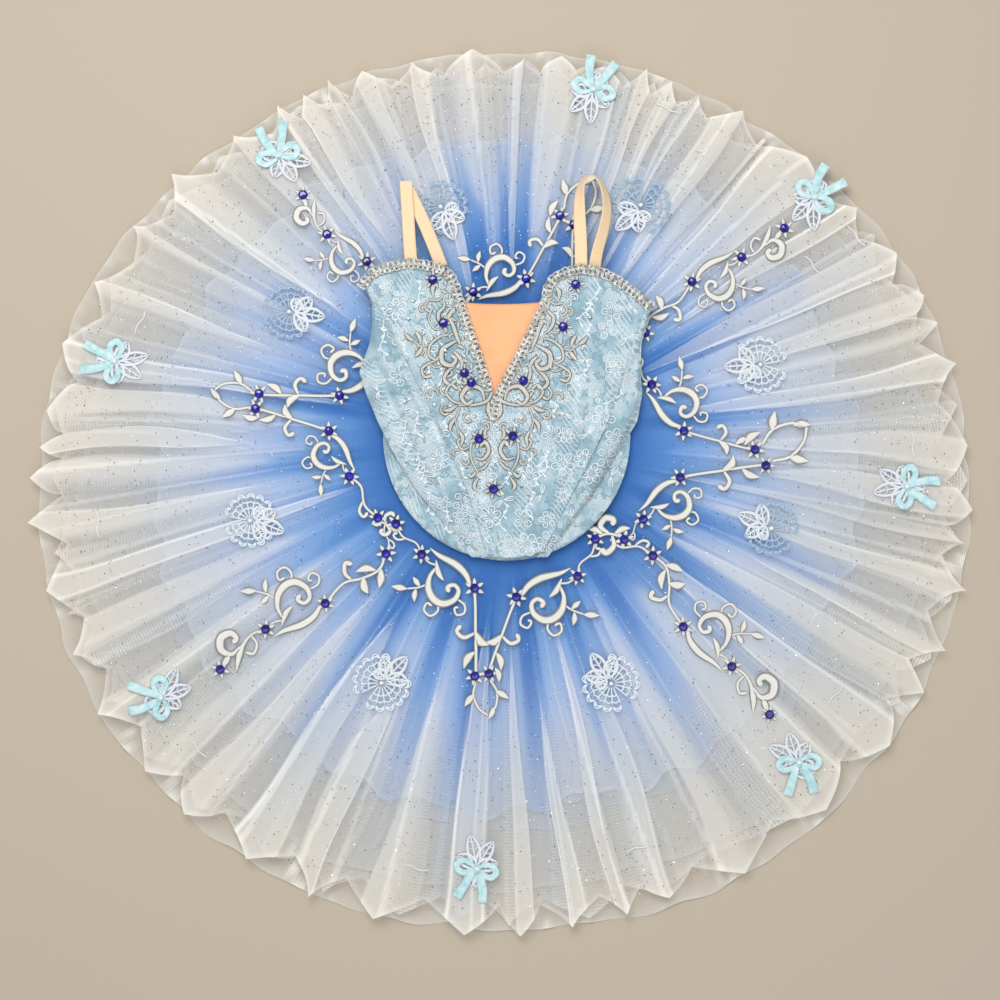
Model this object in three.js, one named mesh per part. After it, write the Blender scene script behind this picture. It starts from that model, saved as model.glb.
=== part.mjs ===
// A classical ballet tutu lying flat, front uppermost: a wide pleated net skirt spread
// as a disc, with the bodice folded back over the rear of the skirt. Millimetres, +Z up,
// +Y towards the top of the bodice. The origin is under the middle of the skirt.
import * as THREE from 'three';

// ---------------------------------------------------------------- driving dimensions

const SKIRT_HALF_WIDTH = 503;
const SKIRT_HALF_DEPTH = 473;
const WAIST = { x: 2, y: 60 }; // middle of the ring that the skirt is sewn to
const RING_RADIUS = 127;
const CLOTH = 1.2; // wall of every net, tulle and lace panel
const SEAM_GAP = 0.3;

const RIM_HEIGHT = 4; // the nets' common slope: its height at the rim and at the waist
const WAIST_HEIGHT = 28;

const PLEATS = 48;
const PLEAT_DEPTH_AT_WAIST = 0.8;
const PLEAT_DEPTH_AT_RIM = 3.6;

// Each skirt layer: how far it reaches from the waist (0) to the skirt's outline (1),
// its height over the common slope, how much of the pleat depth it takes, how far its
// hem is cut back between the points of its zigzag, and the shares of its reach at which
// its rows of points lie.
const LAYERS = {
  smooth_net: { reach: 0.86, lift: 1.2, pleat: 0.0, zigzag: 0.0, rows: [0, 0.5, 1] },
  ombre_net: { reach: 0.66, lift: 4.0, pleat: 0.0, zigzag: 0.0, rows: [0, 0.5, 1] },
  dagged_net: { reach: 0.93, lift: 7.4, pleat: 0.4, zigzag: 0.06, rows: [0, 1] },
  top_tulle: { reach: 0.97, lift: 12.0, pleat: 1.0, zigzag: 0.08, rows: [0, 0.5, 1] },
};

// The netting frills under them, as one body: reach and height under the slope, from the
// longest frill to the shortest, each one a step in the edge.
const STACK_STEPS = [
  { reach: 0.70, under: 5.4 },
  { reach: 0.66, under: 3.4 },
  { reach: 0.62, under: 1.4 },
];

const BASQUE_RADIUS = 131;
const BASQUE_HEIGHT = 45;
const BACK_HEIGHT = 49.6;
const BACK_DROP = 6.5; // how far the back lies under the front
const FRONT_EDGE_HEIGHT = 53;
const FRONT_CROWN = 12;
const BODICE_HALF_WIDTH = 158;
const INSERT_DROP = 3;

const TRIM_WIDTH = 9.4;
const TRIM_THICKNESS = 2;
const STRAP_WIDTH = 13;
const STRAP_THICKNESS = 1.4;
const PATCH = 1.4; // thickness of the sewn-on embroidery, lace and bows
const PATCH_CLEARANCE = 0.9;

// ------------------------------------------------------------------------- materials

function cloth(colour, roughness) {
  return new THREE.MeshStandardMaterial({ color: colour, roughness, metalness: 0 });
}

const sheerNet = cloth(0xddd8cc, 0.85);
const whiteNet = cloth(0xe2e6ee, 0.85);
const blueNet = cloth(0x6f95d6, 0.85);
const tulle = cloth(0xc9d6ee, 0.8);
const lace = cloth(0xbedceb, 0.75);
const lining = cloth(0xb9d2e4, 0.8);
const nude = cloth(0xfabe8c, 0.7);
const elastic = cloth(0xf8d6a5, 0.7);
const silverThread = new THREE.MeshStandardMaterial({ color: 0xb4b4ac, roughness: 0.45, metalness: 0.4 });
const embroidery = cloth(0xdedcd2, 0.6);
const satin = cloth(0xafe1e1, 0.4);
const wingThread = cloth(0x96bedc, 0.55);

const tutu = new THREE.Group();

function addPiece(name, geometry, material) {
  const piece = new THREE.Mesh(geometry, material);
  piece.name = name;
  tutu.add(piece);
  return piece;
}

// ------------------------------------------------------------------ geometry builders

// A mesh from corner points and triangles, turned inside out if its volume is negative.
function closedGeometry(points, triangles) {
  let volume = 0;
  for (const [a, b, c] of triangles) {
    volume += points[a].dot(points[b].clone().cross(points[c]));
  }
  const ordered = volume < 0 ? triangles.map(([a, b, c]) => [a, c, b]) : triangles;
  const geometry = new THREE.BufferGeometry();
  geometry.setAttribute('position', new THREE.Float32BufferAttribute(points.flatMap((p) => p.toArray()), 3));
  geometry.setIndex(ordered.flat());
  geometry.computeVertexNormals();
  return geometry;
}

// A cloth wall over a grid of middle points: an upper and a lower sheet, half a wall
// above and below the points, joined all round the edges. A ring closes on itself
// along its rows and has only an inner and an outer edge.
function clothWall(grid, wall, ring = false) {
  const rows = grid.length;
  const columns = grid[0].length;
  const points = [];
  for (const side of [1, -1]) {
    for (const row of grid) {
      for (const p of row) points.push(new THREE.Vector3(p.x, p.y, p.z + (side * wall) / 2));
    }
  }
  const upper = (i, j) => i * columns + (j % columns);
  const lower = (i, j) => rows * columns + upper(i, j);
  const triangles = [];
  const lastColumn = ring ? columns : columns - 1;
  for (let i = 0; i < rows - 1; i++) {
    for (let j = 0; j < lastColumn; j++) {
      triangles.push([upper(i, j), upper(i, j + 1), upper(i + 1, j)]);
      triangles.push([upper(i, j + 1), upper(i + 1, j + 1), upper(i + 1, j)]);
      triangles.push([lower(i, j), lower(i + 1, j), lower(i, j + 1)]);
      triangles.push([lower(i, j + 1), lower(i + 1, j), lower(i + 1, j + 1)]);
    }
  }
  for (let j = 0; j < lastColumn; j++) {
    const end = rows - 1;
    triangles.push([lower(0, j), lower(0, j + 1), upper(0, j + 1)]);
    triangles.push([lower(0, j), upper(0, j + 1), upper(0, j)]);
    triangles.push([lower(end, j + 1), lower(end, j), upper(end, j)]);
    triangles.push([lower(end, j + 1), upper(end, j), upper(end, j + 1)]);
  }
  if (!ring) {
    const end = columns - 1;
    for (let i = 0; i < rows - 1; i++) {
      triangles.push([lower(i + 1, 0), lower(i, 0), upper(i, 0)]);
      triangles.push([lower(i + 1, 0), upper(i, 0), upper(i + 1, 0)]);
      triangles.push([lower(i, end), lower(i + 1, end), upper(i + 1, end)]);
      triangles.push([lower(i, end), upper(i + 1, end), upper(i, end)]);
    }
  }
  return closedGeometry(points, triangles);
}

// A flat band swept through sections. Each section has its middle, the direction across
// the band, and the direction through its thickness.
function bandGeometry(sections, width, thickness) {
  const points = [];
  for (const { middle, across, through } of sections) {
    for (const [side, face] of [[-1, -1], [1, -1], [1, 1], [-1, 1]]) {
      points.push(
        middle
          .clone()
          .addScaledVector(across, (side * width) / 2)
          .addScaledVector(through, (face * thickness) / 2),
      );
    }
  }
  const triangles = [];
  const last = (sections.length - 1) * 4;
  for (let start = 0; start < last; start += 4) {
    for (let k = 0; k < 4; k++) {
      const next = (k + 1) % 4;
      triangles.push([start + k, start + next, start + next + 4]);
      triangles.push([start + k, start + next + 4, start + k + 4]);
    }
  }
  triangles.push([0, 2, 1], [0, 3, 2], [last, last + 1, last + 2], [last, last + 2, last + 3]);
  return closedGeometry(points, triangles);
}

// The value at x on the line through a table's two columns.
function along(table, from, to, x) {
  const rising = table[table.length - 1][from] > table[0][from];
  const rows = rising ? table : [...table].reverse();
  if (x <= rows[0][from]) return rows[0][to];
  for (let i = 1; i < rows.length; i++) {
    if (x <= rows[i][from]) {
      const share = (x - rows[i - 1][from]) / (rows[i][from] - rows[i - 1][from]);
      return rows[i - 1][to] + share * (rows[i][to] - rows[i - 1][to]);
    }
  }
  return rows[rows.length - 1][to];
}

const radians = THREE.MathUtils.degToRad;

// ------------------------------------------------------------------------- the skirt

// Distance from the waist's middle to the skirt's oval outline, at an angle measured
// clockwise from +Y.
function outlineDistance(angle) {
  const dx = Math.sin(angle) / SKIRT_HALF_WIDTH;
  const dy = Math.cos(angle) / SKIRT_HALF_DEPTH;
  const ox = WAIST.x / SKIRT_HALF_WIDTH;
  const oy = WAIST.y / SKIRT_HALF_DEPTH;
  const a = dx * dx + dy * dy;
  const b = ox * dx + oy * dy;
  const c = ox * ox + oy * oy - 1;
  return (-b + Math.sqrt(b * b - a * c)) / a;
}

// The height of the nets' common slope at a reach.
function slopeHeight(reach) {
  return RIM_HEIGHT + (WAIST_HEIGHT - RIM_HEIGHT) * Math.pow(1 - Math.min(reach, 1), 1.2);
}

function pleatDepth(reach) {
  return PLEAT_DEPTH_AT_WAIST + (PLEAT_DEPTH_AT_RIM - PLEAT_DEPTH_AT_WAIST) * reach;
}

// A point of the skirt: angle clockwise from +Y, reach from the waist ring to the rim.
function skirtPoint(angle, reach, height) {
  const distance = RING_RADIUS + reach * (outlineDistance(angle) - RING_RADIUS);
  return new THREE.Vector3(
    WAIST.x + distance * Math.sin(angle),
    WAIST.y + distance * Math.cos(angle),
    height,
  );
}

// How far a place on the skirt reaches from the waist ring to the rim.
function reachAt(x, y) {
  const angle = Math.atan2(x - WAIST.x, y - WAIST.y);
  const distance = Math.hypot(x - WAIST.x, y - WAIST.y);
  return (distance - RING_RADIUS) / (outlineDistance(angle) - RING_RADIUS);
}

// The pleats are uneven: this shifts a pleat's angle by up to a third of its width.
function unevenAngle(turn) {
  const angle = 2 * Math.PI * turn;
  const width = (2 * Math.PI) / PLEATS;
  return angle + width * (0.2 * Math.sin(5 * angle) + 0.13 * Math.sin(11 * angle + 1));
}

// One pleat's section: up to the fold and down again. 0 at the valley, 1 at the fold.
const PLEAT_SECTION = [0, 1, 0.55];
const PLAIN_STEPS = 72; // round a ring that has no pleats

// A ring of net. A pleated one has its hem's points at the folds, cut back between.
function skirtLayer(layer) {
  const count = layer.pleat > 0 ? PLEATS * PLEAT_SECTION.length : PLAIN_STEPS;
  return layer.rows.map((share) => {
    const row = [];
    for (let k = 0; k < count; k++) {
      const rise = PLEAT_SECTION[k % PLEAT_SECTION.length];
      const angle = unevenAngle(k / count);
      const longer = 0.012 * Math.sin(7 * angle + 2);
      const reach = share * (layer.reach + longer - layer.zigzag * (1 - rise));
      const pleat = layer.pleat * pleatDepth(reach) * (2 * rise - 1);
      row.push(skirtPoint(angle, reach, slopeHeight(reach) + layer.lift + pleat));
    }
    return row;
  });
}

for (const [name, layer] of Object.entries(LAYERS)) {
  const material = { top_tulle: tulle, ombre_net: blueNet }[name] ?? whiteNet;
  addPiece(`skirt_${name}`, clothWall(skirtLayer(layer), CLOTH, true), material);
}

// The widest, sheerest net lies on the surface under everything, with a wavy rim.
const RIM_WAVE = 0.014;

function baseNet() {
  return [0, 0.5, 1].map((share) => {
    const row = [];
    for (let k = 0; k < PLAIN_STEPS; k++) {
      const angle = (2 * Math.PI * k) / PLAIN_STEPS;
      const wave = RIM_WAVE * (Math.sin(9 * angle) + 0.6 * Math.sin(17 * angle + 1)) * 0.5;
      row.push(skirtPoint(angle, share * (1 - RIM_WAVE * 0.5 + wave), CLOTH / 2));
    }
    return row;
  });
}

addPiece('skirt_base_net', clothWall(baseNet(), CLOTH, true), sheerNet);

// The hidden frills share one ring-shaped body, stepped at its edge.
function netStack() {
  const floor = CLOTH + SEAM_GAP;
  const profile = [{ reach: 0, height: floor }];
  for (const [k, step] of STACK_STEPS.entries()) {
    const height = slopeHeight(step.reach) - step.under;
    const below = k === 0 ? floor : slopeHeight(STACK_STEPS[k - 1].reach) - STACK_STEPS[k - 1].under;
    profile.push({ reach: step.reach, height: below }, { reach: step.reach - 0.006, height });
  }
  profile.push({ reach: 0.3, height: slopeHeight(0.3) - 1.4 }, { reach: 0, height: slopeHeight(0) - 1.4 });
  const columns = 36;
  const points = [];
  for (let k = 0; k < columns; k++) {
    for (const p of profile) points.push(skirtPoint((2 * Math.PI * k) / columns, p.reach, p.height));
  }
  const size = profile.length;
  const triangles = [];
  for (let k = 0; k < columns; k++) {
    for (let i = 0; i < size; i++) {
      const here = k * size;
      const next = ((k + 1) % columns) * size;
      const j = (i + 1) % size;
      triangles.push([here + i, here + j, next + i], [here + j, next + j, next + i]);
    }
  }
  return closedGeometry(points, triangles);
}

addPiece('skirt_net_stack', netStack(), whiteNet);

// ------------------------------------------------------- the panty, inside the ring

// A plain brief lying in the ring: a crotch band between two leg openings, cut as a
// disc with two ovals taken out.
function panty() {
  const outline = new THREE.Shape().absarc(0, 0, RING_RADIUS - 2, 0, 2 * Math.PI);
  for (const side of [-1, 1]) {
    const leg = new THREE.Path().absellipse(side * 66, 0, 40, 78, 0, 2 * Math.PI);
    outline.holes.push(leg);
  }
  return new THREE.ExtrudeGeometry(outline, { depth: 1.6, bevelEnabled: false, curveSegments: 18 });
}

addPiece('panty', panty(), lining).position.set(WAIST.x, WAIST.y, 0);

// ------------------------------------------------------------------------ the basque

// Half a disc of lace over the waist ring. The front half's round edge faces the
// bottom of the skirt, the back half's faces the top.
function basqueHalf(direction, topLine, height) {
  const grid = [];
  for (let i = 0; i <= 4; i++) {
    const row = [];
    for (let k = 0; k <= 14; k++) {
      const x = -0.985 * BASQUE_RADIUS * Math.cos((Math.PI * k) / 14);
      const depth = Math.sqrt(BASQUE_RADIUS * BASQUE_RADIUS - x * x);
      const y = topLine + (i / 4) * (direction * depth + WAIST.y - topLine);
      const crown = 2 * (1 - (x / BASQUE_RADIUS) ** 2) * (1 - i / 4);
      row.push(new THREE.Vector3(WAIST.x + x, y, height + crown));
    }
    grid.push(row);
  }
  return clothWall(grid, CLOTH);
}

addPiece('basque_front', basqueHalf(-1, 80, BASQUE_HEIGHT + 1), lace);
addPiece('basque_back', basqueHalf(1, 82, BASQUE_HEIGHT), lining);

// ------------------------------------------------------------------------ the bodice

// The bodice front at a few heights: the worn outline left and right, and the two long
// folds that part the centre from the sides.
const BODICE_STATIONS = [
  { y: 226, left: -151, foldLeft: -148, foldRight: 151, right: 155 },
  { y: 199, left: -139, foldLeft: -134, foldRight: 148, right: 154 },
  { y: 178, left: -138, foldLeft: -123, foldRight: 141, right: 148 },
  { y: 157, left: -141, foldLeft: -112, foldRight: 133, right: 142 },
  { y: 127, left: -152, foldLeft: -97, foldRight: 124, right: 141 },
  { y: 105, left: -145, foldLeft: -86, foldRight: 117, right: 143 },
  { y: 76, left: -133, foldLeft: -72, foldRight: 107, right: 138 },
  { y: 45, left: -118, foldLeft: -57, foldRight: 93, right: 119 },
  { y: 3, left: -92, foldLeft: -39, foldRight: 71, right: 94 },
  { y: -25, left: -68, foldLeft: -30, foldRight: 57, right: 74 },
  { y: -72, left: -30, foldLeft: -16, foldRight: 34, right: 40 },
];

// The neckline of the front from armhole to armhole: over the cups and into the V.
const NECKLINE = [
  { x: -150, y: 222 },
  { x: -128, y: 235 },
  { x: -104, y: 244 },
  { x: -68, y: 243 },
  { x: -50, y: 229 },
  { x: -39, y: 200 },
  { x: -26, y: 150 },
  { x: -12, y: 103 },
  { x: 10, y: 150 },
  { x: 33, y: 200 },
  { x: 46, y: 222 },
  { x: 62, y: 233 },
  { x: 87, y: 238 },
  { x: 120, y: 225 },
  { x: 153, y: 200 },
];

// The front's height: crowned over the body folded under it, lower at its edges.
function bodiceHeight(x, y) {
  const side = Math.min(1, Math.abs(x) / BODICE_HALF_WIDTH);
  const lengthwise = Math.sin(Math.PI * THREE.MathUtils.clamp((y + 110) / 400, 0, 1));
  return FRONT_EDGE_HEIGHT + FRONT_CROWN * (1 - side * side) * lengthwise;
}

function edgeAt(edge, y) {
  return along(BODICE_STATIONS, 'y', edge, y);
}

// The lower end of the bodice lies along the basque's round edge.
function lowerEdge(x) {
  const depth = Math.sqrt(Math.max(0, (BASQUE_RADIUS - 1) ** 2 - (x - WAIST.x) ** 2));
  return WAIST.y - depth;
}

// The centre front: columns from the lower edge up to the neckline, between the folds.
function centreFront() {
  const foot = { left: -24, right: 44 };
  const rows = 9;
  const grid = [];
  for (let i = 0; i <= rows; i++) {
    const share = i / rows;
    grid.push(
      NECKLINE.map((top, k) => {
        const across = k / (NECKLINE.length - 1);
        const footX = foot.left + across * (foot.right - foot.left);
        const footY = lowerEdge(footX);
        const y = footY + share * (top.y - footY);
        const left = edgeAt('foldLeft', y);
        const right = edgeAt('foldRight', y);
        const topLeft = edgeAt('foldLeft', top.y);
        const topRight = edgeAt('foldRight', top.y);
        const topShare = THREE.MathUtils.clamp((top.x - topLeft) / (topRight - topLeft), 0, 1);
        const x = left + (across + share * (topShare - across)) * (right - left);
        return new THREE.Vector3(x, y, bodiceHeight(x, y));
      }),
    );
  }
  return clothWall(grid, CLOTH);
}

addPiece('bodice_front', centreFront(), lace);

// A side panel lies between the worn outline and its fold, and tucks under the fold.
function sidePanel(outer, fold, side) {
  const top = side < 0 ? 221 : 198;
  const bottom = -30;
  const rows = 9;
  const grid = [];
  for (let i = 0; i <= rows; i++) {
    const y = bottom + (i / rows) * (top - bottom);
    const inner = edgeAt(fold, y) - side * SEAM_GAP;
    const outside = edgeAt(outer, y) + side * SEAM_GAP;
    const row = [0, 0.25, 0.6, 1].map((share) => {
      const x = inner + share * (outside + side * 2 - inner);
      const tuck = 2.2 * (1 - share);
      return new THREE.Vector3(x, y, bodiceHeight(x, y) - tuck - 0.6);
    });
    grid.push(side < 0 ? row.reverse() : row);
  }
  return clothWall(grid, CLOTH);
}

addPiece('bodice_side_left', sidePanel('left', 'foldLeft', -1), lace);
addPiece('bodice_side_right', sidePanel('right', 'foldRight', 1), lace);

// The back is folded in under the front and follows it: two halves that meet at the
// centre back.
function backHalf(side) {
  const sideSeam = [
    { y: 22, x: 122 },
    { y: 110, x: 130 },
    { y: 170, x: 126 },
    { y: 196, x: 118 },
  ];
  const grid = [];
  for (let i = 0; i <= 5; i++) {
    const y = 22 + (i / 5) * 174;
    const edge = along(sideSeam, 'y', 'x', y);
    const row = [0, 0.5, 1].map((share) => {
      const x = side * (SEAM_GAP / 2 + share * (edge - SEAM_GAP));
      return new THREE.Vector3(x, y, Math.max(BACK_HEIGHT, bodiceHeight(x, y) - BACK_DROP));
    });
    grid.push(side < 0 ? row.reverse() : row);
  }
  return clothWall(grid, CLOTH);
}

addPiece('bodice_back_left', backHalf(-1), lining);
addPiece('bodice_back_right', backHalf(1), lining);

// The skin-coloured piece behind the V of the neckline, wider than the V all round.
function neckInsert() {
  const grid = [];
  for (let i = 0; i <= 5; i++) {
    const y = 92 + (i / 5) * 108;
    const opening = Math.max(3, ((y - 100) / 100) * 39);
    const row = [-1, 0, 1].map((side) => {
      const x = -6 + (y - 150) * 0.035 + side * (opening + 4);
      return new THREE.Vector3(x, y - 2 * (1 - Math.abs(side)) * (i / 5), bodiceHeight(x, y) - INSERT_DROP);
    });
    grid.push(row);
  }
  return clothWall(grid, CLOTH);
}

addPiece('neck_insert', neckInsert(), nude);

// ------------------------------------------------------------------- the neck braids

// A braid along a run of points over the front's edge, level across its width.
function braid(run) {
  const lift = CLOTH / 2 + SEAM_GAP + TRIM_THICKNESS / 2;
  const sections = run.map((p, k) => {
    const before = run[Math.max(0, k - 1)];
    const after = run[Math.min(run.length - 1, k + 1)];
    const across = new THREE.Vector3(-(after.y - before.y), after.x - before.x, 0).normalize();
    const heights = [-1, 0, 1].map((side) =>
      bodiceHeight(p.x + (side * across.x * TRIM_WIDTH) / 2, p.y + (side * across.y * TRIM_WIDTH) / 2),
    );
    const middle = new THREE.Vector3(p.x, p.y, Math.max(...heights) + lift + SEAM_GAP);
    return { middle, across, through: new THREE.Vector3(0, 0, 1) };
  });
  return bandGeometry(sections, TRIM_WIDTH, TRIM_THICKNESS);
}

const V_TIP = NECKLINE.findIndex((p) => p.y === Math.min(...NECKLINE.map((q) => q.y)));
const leftRun = NECKLINE.slice(0, V_TIP);
const rightRun = NECKLINE.slice(V_TIP + 1).reverse();
leftRun.push({ x: -17.5, y: 112 });
rightRun.push({ x: -4, y: 112 }, { x: -12, y: 90 }, { x: -13, y: 80 });
addPiece('neck_trim_left', braid(leftRun), silverThread);
addPiece('neck_trim_right', braid(rightRun), silverThread);

// ------------------------------------------------------------------------ the straps

// A strap through stations: its middle, the plan direction across it, and how far the
// band is tipped up on its edge (0 flat, 90 on edge), both in degrees.
function strap(stations) {
  const sections = stations.map((s) => {
    const flat = new THREE.Vector3(Math.cos(radians(s.turn)), Math.sin(radians(s.turn)), 0);
    const across = flat.clone().multiplyScalar(Math.cos(radians(s.tip)));
    across.z = Math.sin(radians(s.tip));
    const ahead = new THREE.Vector3(-flat.y, flat.x, 0);
    return { middle: new THREE.Vector3(s.x, s.y, s.z), across, through: s.over ?? across.clone().cross(ahead) };
  });
  return bandGeometry(sections, STRAP_WIDTH, STRAP_THICKNESS);
}

// The left strap is pressed flat with one fold: up from the cup and back down under it.
const outwards = new THREE.Vector3(0, -1, 0);
const up = new THREE.Vector3(0, 0, 1);
const down = new THREE.Vector3(0, 0, -1);
const strapLeft = [
  { x: -97, y: 236, z: 54, turn: 4, tip: 0, over: up },
  { x: -99, y: 256, z: 54, turn: 4, tip: 0, over: up },
  { x: -103, y: 322, z: 53, turn: 2, tip: 0, over: up },
  { x: -103.2, y: 325, z: 51.3, turn: 2, tip: 0, over: outwards.clone().negate() },
  { x: -103, y: 322, z: 49.6, turn: 2, tip: 0, over: down },
  { x: -88, y: 290, z: 49.4, turn: 22, tip: 0, over: down },
  { x: -66, y: 236, z: 49.4, turn: 22, tip: 0, over: down },
];
addPiece('strap_left', strap(strapLeft), elastic);

// The right strap is turned over in a loop that stands up on its edge at the top.
const strapRight = [
  { x: 79, y: 231, z: 54, turn: 0, tip: 0 },
  { x: 78.5, y: 262, z: 54, turn: 0, tip: 6 },
  { x: 77, y: 300, z: 54, turn: 0, tip: 30 },
  { x: 79, y: 322, z: 54, turn: -20, tip: 62 },
  { x: 90, y: 331, z: 53, turn: -90, tip: 76 },
  { x: 101, y: 320, z: 52, turn: -150, tip: 62 },
  { x: 106, y: 300, z: 51, turn: -180, tip: 50 },
  { x: 103, y: 277, z: 50.5, turn: -198, tip: 40 },
  { x: 96, y: 252, z: 50, turn: -198, tip: 30 },
  { x: 94, y: 234, z: 50, turn: -185, tip: 15 },
];
addPiece('strap_right', strap(strapRight), elastic);

// ------------------------------------------------------- embroidery on the bodice

// A scroll spray on the front follows a run of places with its own half width.
function bodiceSpray(run) {
  const grid = run.map((p) =>
    [-1, 0, 1].map((side) => {
      const x = p.x + side * p.half;
      const y = p.y + side * p.lean;
      const height = Math.max(bodiceHeight(x, y), bodiceHeight(x, y + 6));
      return new THREE.Vector3(x, y, height + (CLOTH + PATCH) / 2 + PATCH_CLEARANCE);
    }),
  );
  return clothWall(grid, PATCH);
}

const SPRAY_LEFT = [
  { x: -38, y: 84, half: 14, lean: 0 },
  { x: -45, y: 112, half: 17, lean: 0 },
  { x: -62, y: 142, half: 24, lean: 0 },
  { x: -66, y: 168, half: 20, lean: 0 },
  { x: -70, y: 196, half: 16, lean: 0 },
  { x: -76, y: 222, half: 14, lean: 0 },
];
const SPRAY_RIGHT = SPRAY_LEFT.map((p) => ({ ...p, x: -7 - p.x, y: p.y - 4 }));
const SPRAY_CENTRE = [
  { x: -12, y: 2, half: 16, lean: 0 },
  { x: -12, y: 24, half: 25, lean: 0 },
  { x: -12, y: 48, half: 30, lean: 0 },
  { x: -12, y: 72, half: 10, lean: 0 },
];
addPiece('bodice_scroll_left', bodiceSpray(SPRAY_LEFT), embroidery);
addPiece('bodice_scroll_right', bodiceSpray(SPRAY_RIGHT), embroidery);
addPiece('bodice_scroll_centre', bodiceSpray(SPRAY_CENTRE), embroidery);

// ---------------------------------------------------------- embroidery on the skirt

// The height that a sewn-on piece lies at: on the folds of the top tulle's pleats.
function patchHeight(reach) {
  const folds = slopeHeight(reach) + LAYERS.top_tulle.lift + pleatDepth(reach);
  return folds + (CLOTH + PATCH) / 2 + PATCH_CLEARANCE;
}

// A band of embroidery over the skirt, through places given by angle from the quarter's
// start (degrees), reach, and half width (mm) across the band.
function skirtBand(start, run) {
  const middles = run.map((p) => skirtPoint(radians(start + p.angle), p.reach, 0));
  const grid = run.map((p, k) => {
    const before = middles[Math.max(0, k - 1)];
    const after = middles[Math.min(run.length - 1, k + 1)];
    const across = new THREE.Vector3(after.y - before.y, before.x - after.x, 0).normalize();
    return [-1, 1].map((side) => {
      const point = middles[k].clone().addScaledVector(across, side * p.half);
      point.z = patchHeight(reachAt(point.x, point.y));
      return point;
    });
  });
  return clothWall(grid, PATCH);
}

// The garland repeats in four quarters. Each has a peak, a low scroll on either side
// of a long arm, and the arm itself, which climbs towards the rim.
const QUARTER_STARTS = [12, 94, 186, 280];

const PEAK = [
  { angle: -8, reach: 0.15, half: 6 },
  { angle: -5.5, reach: 0.25, half: 6 },
  { angle: -1.8, reach: 0.35, half: 9 },
  { angle: 1.8, reach: 0.35, half: 9 },
  { angle: 5.5, reach: 0.25, half: 6 },
  { angle: 8, reach: 0.15, half: 6 },
];
const LOW_SCROLL = [
  { angle: 10.6, reach: 0.12, half: 7 },
  { angle: 15, reach: 0.12, half: 16 },
  { angle: 20, reach: 0.13, half: 17 },
  { angle: 25, reach: 0.11, half: 10 },
  { angle: 29, reach: 0.1, half: 7 },
];
const ARM = [
  { angle: 39, reach: 0.09, half: 12 },
  { angle: 39, reach: 0.18, half: 9 },
  { angle: 41, reach: 0.28, half: 8 },
  { angle: 42, reach: 0.37, half: 11 },
  { angle: 41, reach: 0.45, half: 20 },
  { angle: 41, reach: 0.55, half: 12 },
  { angle: 41, reach: 0.64, half: 11 },
  { angle: 41, reach: 0.72, half: 6 },
];

for (const [k, start] of QUARTER_STARTS.entries()) {
  const span = k === 0 ? 82 : 92; // the first quarter is a little narrower
  const after = LOW_SCROLL.map((p) => ({ ...p, angle: span - p.angle }));
  addPiece(`garland_peak_${k + 1}`, skirtBand(start, PEAK), embroidery);
  addPiece(`garland_low_a_${k + 1}`, skirtBand(start, LOW_SCROLL), embroidery);
  addPiece(`garland_low_b_${k + 1}`, skirtBand(start, after), embroidery);
  addPiece(`garland_arm_${k + 1}`, skirtBand(start, ARM), embroidery);
}

// ------------------------------------------------------------- butterflies and bows

// A flat sewn-on motif, its own +Y pointing out along the skirt, tipped to the slope.
function placeMotif(name, shape, material, angle, reach) {
  const geometry = new THREE.ExtrudeGeometry(shape, { depth: PATCH, bevelEnabled: false, curveSegments: 2 });
  const piece = addPiece(name, geometry, material);
  const here = skirtPoint(radians(angle), reach, patchHeight(reach) + 0.6);
  const out = skirtPoint(radians(angle), reach + 0.05, patchHeight(reach + 0.05) + 0.6);
  const run = Math.hypot(out.x - here.x, out.y - here.y);
  piece.rotation.order = 'ZXY';
  piece.rotation.z = -radians(angle);
  piece.rotation.x = Math.atan2(out.z - here.z, run);
  piece.position.set(here.x, here.y, here.z - PATCH / 2);
}

// Two upper and two lower wing lobes, with a lace leaf hanging towards the waist.
function butterflyShape() {
  const shape = new THREE.Shape();
  shape.moveTo(0, 6);
  shape.quadraticCurveTo(12, 22, 26, 15);
  shape.quadraticCurveTo(33, 4, 24, -4);
  shape.quadraticCurveTo(14, -14, 5, -8);
  shape.quadraticCurveTo(12, -24, 0, -36);
  shape.quadraticCurveTo(-12, -24, -5, -8);
  shape.quadraticCurveTo(-14, -14, -24, -4);
  shape.quadraticCurveTo(-33, 4, -26, 15);
  shape.quadraticCurveTo(-12, 22, 0, 6);
  return shape;
}

// Two loops, two upright ribbon tails, and a lace leaf hanging towards the waist.
function bowShape() {
  const shape = new THREE.Shape();
  shape.moveTo(0, 5);
  shape.lineTo(9, 28);
  shape.lineTo(17, 22);
  shape.lineTo(9, 5);
  shape.quadraticCurveTo(24, 12, 25, 0);
  shape.quadraticCurveTo(22, -12, 5, -6);
  shape.quadraticCurveTo(12, -20, 0, -32);
  shape.quadraticCurveTo(-12, -20, -5, -6);
  shape.quadraticCurveTo(-22, -12, -25, 0);
  shape.quadraticCurveTo(-24, 12, -9, 5);
  shape.lineTo(-17, 22);
  shape.lineTo(-9, 28);
  shape.closePath();
  return shape;
}

const BUTTERFLIES = [
  { angle: 30, reach: 0.52 },
  { angle: 74, reach: 0.43 },
  { angle: 109, reach: 0.43 },
  { angle: 157, reach: 0.38 },
  { angle: 207, reach: 0.4 },
  { angle: 252, reach: 0.4 },
  { angle: 300, reach: 0.41 },
  { angle: 344, reach: 0.43 },
];
const BOWS = [
  { angle: 14, reach: 0.87 },
  { angle: 52, reach: 0.89 },
  { angle: 97, reach: 0.79 },
  { angle: 138, reach: 0.83 },
  { angle: 184, reach: 0.81 },
  { angle: 233, reach: 0.82 },
  { angle: 281, reach: 0.82 },
  { angle: 321, reach: 0.83 },
];

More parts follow.
